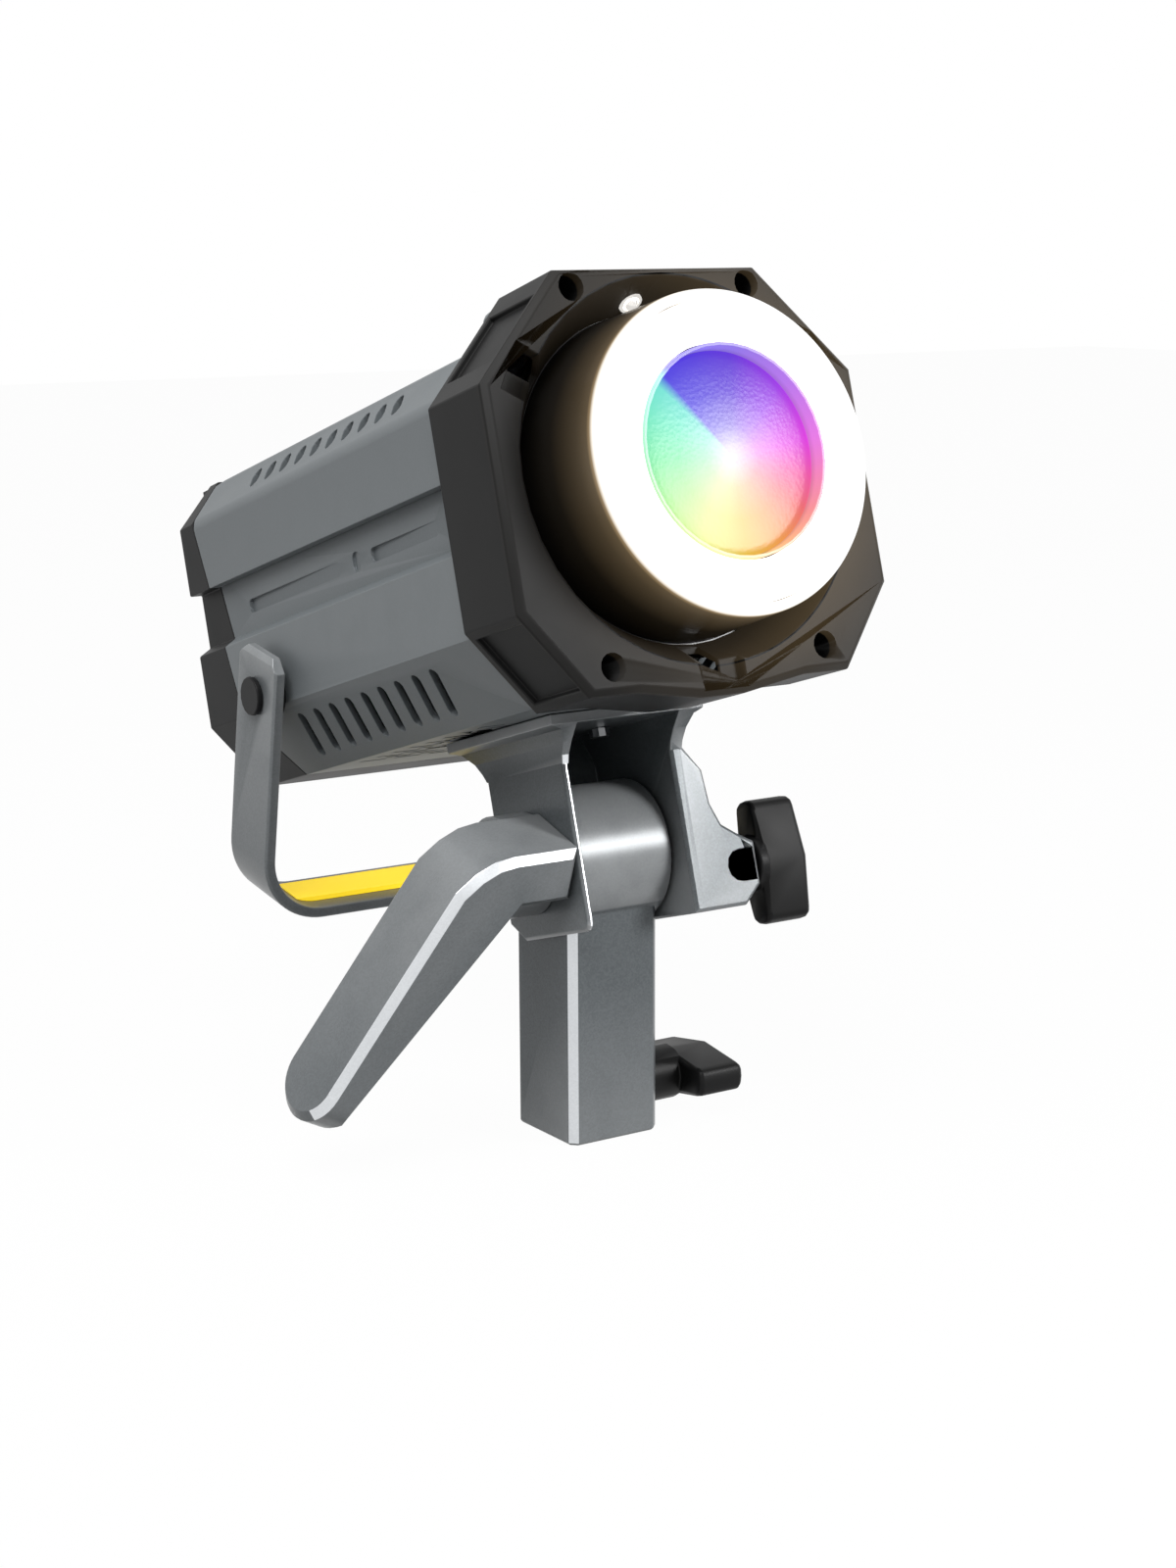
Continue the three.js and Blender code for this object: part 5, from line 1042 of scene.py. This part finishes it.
class LIGHT_OT_bezel(bpy.types.Operator):
    """Makes the front bezel with rounded edges and corner pockets"""

    bl_idname = "video_light.bezel"
    bl_label = "Front bezel"

    def execute(self, context):
        material = lit_plastic(
            "bezel_plastic", settings()[0].bezel, roughness=0.5, specular=0.13, reach=62 * MM,
            spill=[(0.0, grey(0)), (0.12, warm(0.002)), (0.3, warm(0.02)), (0.6, warm(0.075)),
                   (1.0, warm(0.16))],
            right=0.65, seam=SEAM_RADIUS)
        dress(
            "front_bezel", "bezel_moulding", "head", "black_plastic", material, BEZEL_EDGE,
            segments=3, least=LONG_EDGE)
        return {"FINISHED"}


class LIGHT_OT_collar(bpy.types.Operator):
    """Makes the collar and the glowing ring in its lip"""

    bl_idname = "video_light.collar"
    bl_label = "Collar and ring"

    def execute(self, context):
        self.collar()
        self.ring()
        return {"FINISHED"}

    def collar(self):
        """Collar with a rounded front lip, a ledge for the ring and a flange at its back."""
        sizes = settings()[1]
        low, high = head_box("collar")
        glow_high = head_box("glow_ring")[1]
        front, back = low.y, high.y
        fillet, wall = sizes.collar_fillet, sizes.collar_wall
        lip = glow_high.x + RING_GAP
        ledge = glow_high.y + RING_GAP
        flange = back - FLANGE_DEPTH
        inner = sizes.collar_front - wall
        profile = arc((sizes.collar_front - fillet, front + fillet), fillet, -QUARTER, 0, LARGE_STEPS)
        profile += [
            (sizes.collar_rear, flange - RING_GAP), (sizes.collar_rear, flange),
            (high.x, flange), (high.x, back), (inner, back), (inner, ledge + wall),
            (lip - wall, ledge + wall), (lip - wall, ledge), (lip, ledge), (lip, front),
        ]
        collar = turned("collar_cone", profile, sizes.sides)
        into_head(collar)
        soften(collar, COLLAR_EDGE, angle=50)
        material = lit_plastic(
            "collar_gloss", grey(0.005), roughness=0.32, specular=0.3, reach=36 * MM,
            spill=[(0.0, grey(0)), (0.2, warm(0.006)), (0.6, warm(0.055)), (0.8, warm(0.1)),
                   (0.86, warm(0.3)), (0.9, (1.0, 0.92, 0.8)), (0.915, grey(1))],
            radius=42.5 * MM, coat=0.2)
        finish_piece(collar, "head", material, ["collar"])

    def ring(self):
        """Glowing ring with a round along both front edges."""
        low, high = head_box("glow_ring")
        front = low.y + RING_EDGE
        profile = arc((high.x - RING_EDGE, front), RING_EDGE, -QUARTER, 0, SMALL_STEPS)
        profile += [(high.x, high.y), (RING_HOLE, high.y)]
        profile += arc((RING_HOLE + RING_EDGE, front), RING_EDGE, math.pi, 1.5 * math.pi, SMALL_STEPS)
        ring = turned("glow_diffuser", profile, settings()[1].sides)
        into_head(ring)
        soften(ring, 0)
        finish_piece(ring, "head", glowing_ring(), ["glow_ring"])


class LIGHT_OT_lens(bpy.types.Operator):
    """Makes the lens barrel and the front lens"""

    bl_idname = "video_light.lens"
    bl_label = "Lens and barrel"

    def execute(self, context):
        low, high = head_box("front_lens")
        face = low.y + LENS_CROWN
        rim = high.x - LENS_EDGE
        middle = rim * LENS_MIDDLE
        profile = [(middle, low.y)]
        for i in range(1, LARGE_STEPS + 1):
            turn = QUARTER * i / LARGE_STEPS
            profile.append((rim * math.sin(turn), face - LENS_CROWN * math.cos(turn)))
        profile += [(high.x, face + LENS_EDGE), (high.x, high.y), (middle, high.y)]
        lens = turned("lens_glass", profile, settings()[1].sides, closed=False)
        self.cap_far_end(lens)
        into_head(lens)
        soften(lens, 0)
        finish_piece(lens, "head", colour_wheel_lens(), ["front_lens"])
        dress("lens_barrel", "lens_sleeve", "head", "gloss_black", lit_sleeve(), SLEEVE_EDGE)
        return {"FINISHED"}

    def cap_far_end(self, piece):
        """Closes the small hole at the back of the lens."""
        pick(piece, "EDGE", lambda e: e.is_boundary)
        bpy.ops.mesh.edge_face_add()
        bpy.ops.mesh.select_all(action="SELECT")
        bpy.ops.mesh.normals_make_consistent(inside=False)
        leave_edit()


class LIGHT_OT_bracket(bpy.types.Operator):
    """Makes the yoke, the stand post and the friction discs"""

    bl_idname = "video_light.bracket"
    bl_label = "Yoke and post"

    def execute(self, context):
        yoke = copy_of("yoke", "yoke_casting")
        ear = head_box("friction_disc_left")[0].x
        wing = head_box("umbrella_lock_screw")[0]
        back = HEAD.inverted()

        # Painted highlights: the wing's front faces and the post's faces turned to the camera get bright
        # metal
        def faces_forward(face):
            at = back @ face.calc_center_median()
            return (back.to_3x3() @ face.normal).y < -SQUARE_ON and (at.x < ear or at.x > wing.x)

        def faces_camera(face):
            normal = face.normal
            return normal.x < -TURNED and normal.y < -TURNED and abs(normal.z) < TURNED

        paint_highlight_faces(yoke, faces_forward)
        soften(yoke, YOKE_EDGE, smooth=20)
        finish_piece(yoke, "head", cast_metal(), ["yoke"])
        post = copy_of("stand_post", "post_casting")
        paint_highlight_faces(post, faces_camera)
        soften(post, POST_EDGE, smooth=20)
        finish_piece(post, "stand", cast_metal(), ["stand_post"])
        for side in ("right", "left"):
            dress(
                f"friction_disc_{side}", f"friction_washer_{side}", "stand", "rubber", soft_rubber(),
                DISC_EDGE)
        return {"FINISHED"}


class LIGHT_OT_lever(bpy.types.Operator):
    """Makes the cranked tilt lever"""

    bl_idname = "video_light.lever"
    bl_label = "Tilt lever"

    def execute(self, context):
        lever = copy_of("tilt_lever", "lever_casting")
        own = (HEAD.to_3x3() @ Matrix.Rotation(LEVER_TWIST, 3, "X")).inverted()

        # Painted highlight on the lever's upper chamfer, turned to the top lamp
        def upper_chamfer(face):
            normal = own @ face.normal
            return LEANING < -normal.y < SQUARE_ON and normal.dot(UPPER_LEFT) > TURNED

        paint_highlight_faces(lever, upper_chamfer)
        soften(lever, LEVER_EDGE, smooth=30)
        finish_piece(lever, "lever", cast_metal(), ["tilt_lever"])
        return {"FINISHED"}


class LIGHT_OT_knobs(bpy.types.Operator):
    """Makes the two T-shaped clamp grips"""

    bl_idname = "video_light.knobs"
    bl_label = "Clamp grips"

    def execute(self, context):
        for cad, name, body in (
                ("stand_lock_knob", "stand_grip", "stand_knob"),
                ("umbrella_lock_knob", "umbrella_grip", "umbrella_knob")):
            dress(cad, name, body, "satin_black", satin_black(), KNOB_EDGE, segments=3)
        return {"FINISHED"}


class LIGHT_OT_bail(bpy.types.Operator):
    """Makes the carrying bail, its grip and its pivots"""

    bl_idname = "video_light.bail"
    bl_label = "Carrying bail"

    def execute(self, context):
        dress("bail", "bail_strap", "carry_bail", "cast_grey", cast_metal(), BAIL_EDGE, smooth=20)
        dress(
            "bail_grip", "bail_sleeve", "carry_bail", "grip_yellow", yellow_sleeve(), GRIP_EDGE, segments=3)
        for side in ("right", "left"):
            black = satin_black()
            dress(
                f"bail_screw_{side}", f"bail_pivot_{side}", "head", "satin_black", black, PIVOT_EDGE,
                segments=3)
            dress(f"bail_bushing_{side}", f"bail_bush_{side}", "head", "satin_black", black, BUSH_EDGE)
        return {"FINISHED"}


class LIGHT_OT_rear(bpy.types.Operator):
    """Makes the rear cap, its panel and the display window"""

    bl_idname = "video_light.rear"
    bl_label = "Rear cap and panel"

    def execute(self, context):
        for cad, name, slot, width in (
                ("rear_cap", "cap_moulding", "black_plastic", CAP_EDGE),
                ("rear_panel", "panel_plate", "black_plastic", PANEL_EDGE),
                ("power_switch_frame", "switch_frame", "black_plastic", SOCKET_EDGE),
                ("power_inlet", "inlet_shell", "steel", SOCKET_EDGE)):
            material = metal("machined_steel") if slot == "steel" else charcoal()
            dress(cad, name, "head", slot, material, width)
        dress("display_window", "window_glass", "head", "window", dark_window(), WINDOW_EDGE)
        return {"FINISHED"}


class LIGHT_OT_controls(bpy.types.Operator):
    """Makes the two dials, the two buttons and the rocker"""

    bl_idname = "video_light.controls"
    bl_label = "Controls"

    def execute(self, context):
        for cad, name, body in (
                ("intensity_dial", "dial_intensity", "dial_left"),
                ("colour_dial", "dial_colour", "dial_right")):
            dress(cad, name, body, "satin_black", satin_black(), CONTROL_EDGE)
        for cad, name, body in (
                ("mode_button", "button_mode", "button_left"),
                ("channel_button", "button_channel", "button_right")):
            dress(cad, name, body, "rubber", soft_rubber(), BUTTON_EDGE, segments=3)
        dress("power_switch_rocker", "switch_rocker", "rocker", "satin_black", satin_black(), CONTROL_EDGE)
        return {"FINISHED"}


class LIGHT_OT_inside(bpy.types.Operator):
    """Gives the carried-over CAD pieces inside the case, and the small metal ones, their finish"""

    bl_idname = "video_light.inside"
    bl_label = "Inner pieces"

    def execute(self, context):
        finishes = {
            metal("machined_steel"): [
                "stand_lock_screw", "umbrella_lock_screw", "saddle_screw_1", "saddle_screw_2",
                "tilt_bolt", "tilt_nut", "lock_ball_spring", "usb_port",
                *[f"bezel_screw_{i}" for i in range(1, 5)],
                *[f"rear_cap_screw_{i}" for i in range(1, 5)]],
            metal("polished_steel"): ["reflector"],
            # The lock ball and its sleeve glow with painted light
            lit_steel(): ["lock_ball", "lock_ball_sleeve"],
            metal("extruded_aluminium"): ["heat_sink", "cob_plate"],
            metal("copper_plate"): ["heat_spreader"],
            metal("gilt_contacts"): ["inlet_pins"],
            phosphor(): ["phosphor_disc"],
            circuit_board(): ["control_board", "driver_board"],
            satin_black(): ["cob_clamp", "fan_frame", "display_module"],
            charcoal(): ["fan_rotor"],
        }
        for finish, names in finishes.items():
            for name in names:
                for slot in frame["nodes"][name].material_slots:
                    slot.material = finish
        return {"FINISHED"}


OPERATORS = (
    LIGHT_OT_stage, LIGHT_OT_case, LIGHT_OT_bezel, LIGHT_OT_collar, LIGHT_OT_lens, LIGHT_OT_bracket,
    LIGHT_OT_lever, LIGHT_OT_knobs, LIGHT_OT_bail, LIGHT_OT_rear, LIGHT_OT_controls, LIGHT_OT_inside,
)


class LIGHT_PT_sidebar(bpy.types.Panel):
    """Lists the steps that build the light"""

    bl_label = "Video Light"
    bl_idname = "LIGHT_PT_sidebar"
    bl_space_type = "VIEW_3D"
    bl_region_type = "UI"
    bl_category = "Video Light"

    def draw(self, context):
        for step in OPERATORS:
            self.layout.operator(step.bl_idname)


GROUPS_OF_SETTINGS = {
    "light_colours": FinishColours, "light_lens": LensSizes, "light_stage": StageSettings,
}


def register():
    """Registers the settings, the operators and the panel."""
    for group in GROUPS_OF_SETTINGS.values():
        bpy.utils.register_class(group)
    for step in (*OPERATORS, LIGHT_PT_sidebar):
        bpy.utils.register_class(step)
    for name, group in GROUPS_OF_SETTINGS.items():
        setattr(bpy.types.Scene, name, PointerProperty(type=group))


def unregister():
    """Takes back what register has done."""
    for name in GROUPS_OF_SETTINGS:
        delattr(bpy.types.Scene, name)
    for step in (LIGHT_PT_sidebar, *reversed(OPERATORS)):
        bpy.utils.unregister_class(step)
    for group in GROUPS_OF_SETTINGS.values():
        bpy.utils.unregister_class(group)


def main():
    """Builds the light and its studio."""
    register()
    bpy.context.scene.view_settings.view_transform = "Standard"
    for step in OPERATORS:
        area, name = step.bl_idname.split(".")
        getattr(getattr(bpy.ops, area), name)()


if __name__ == "__main__":
    main()
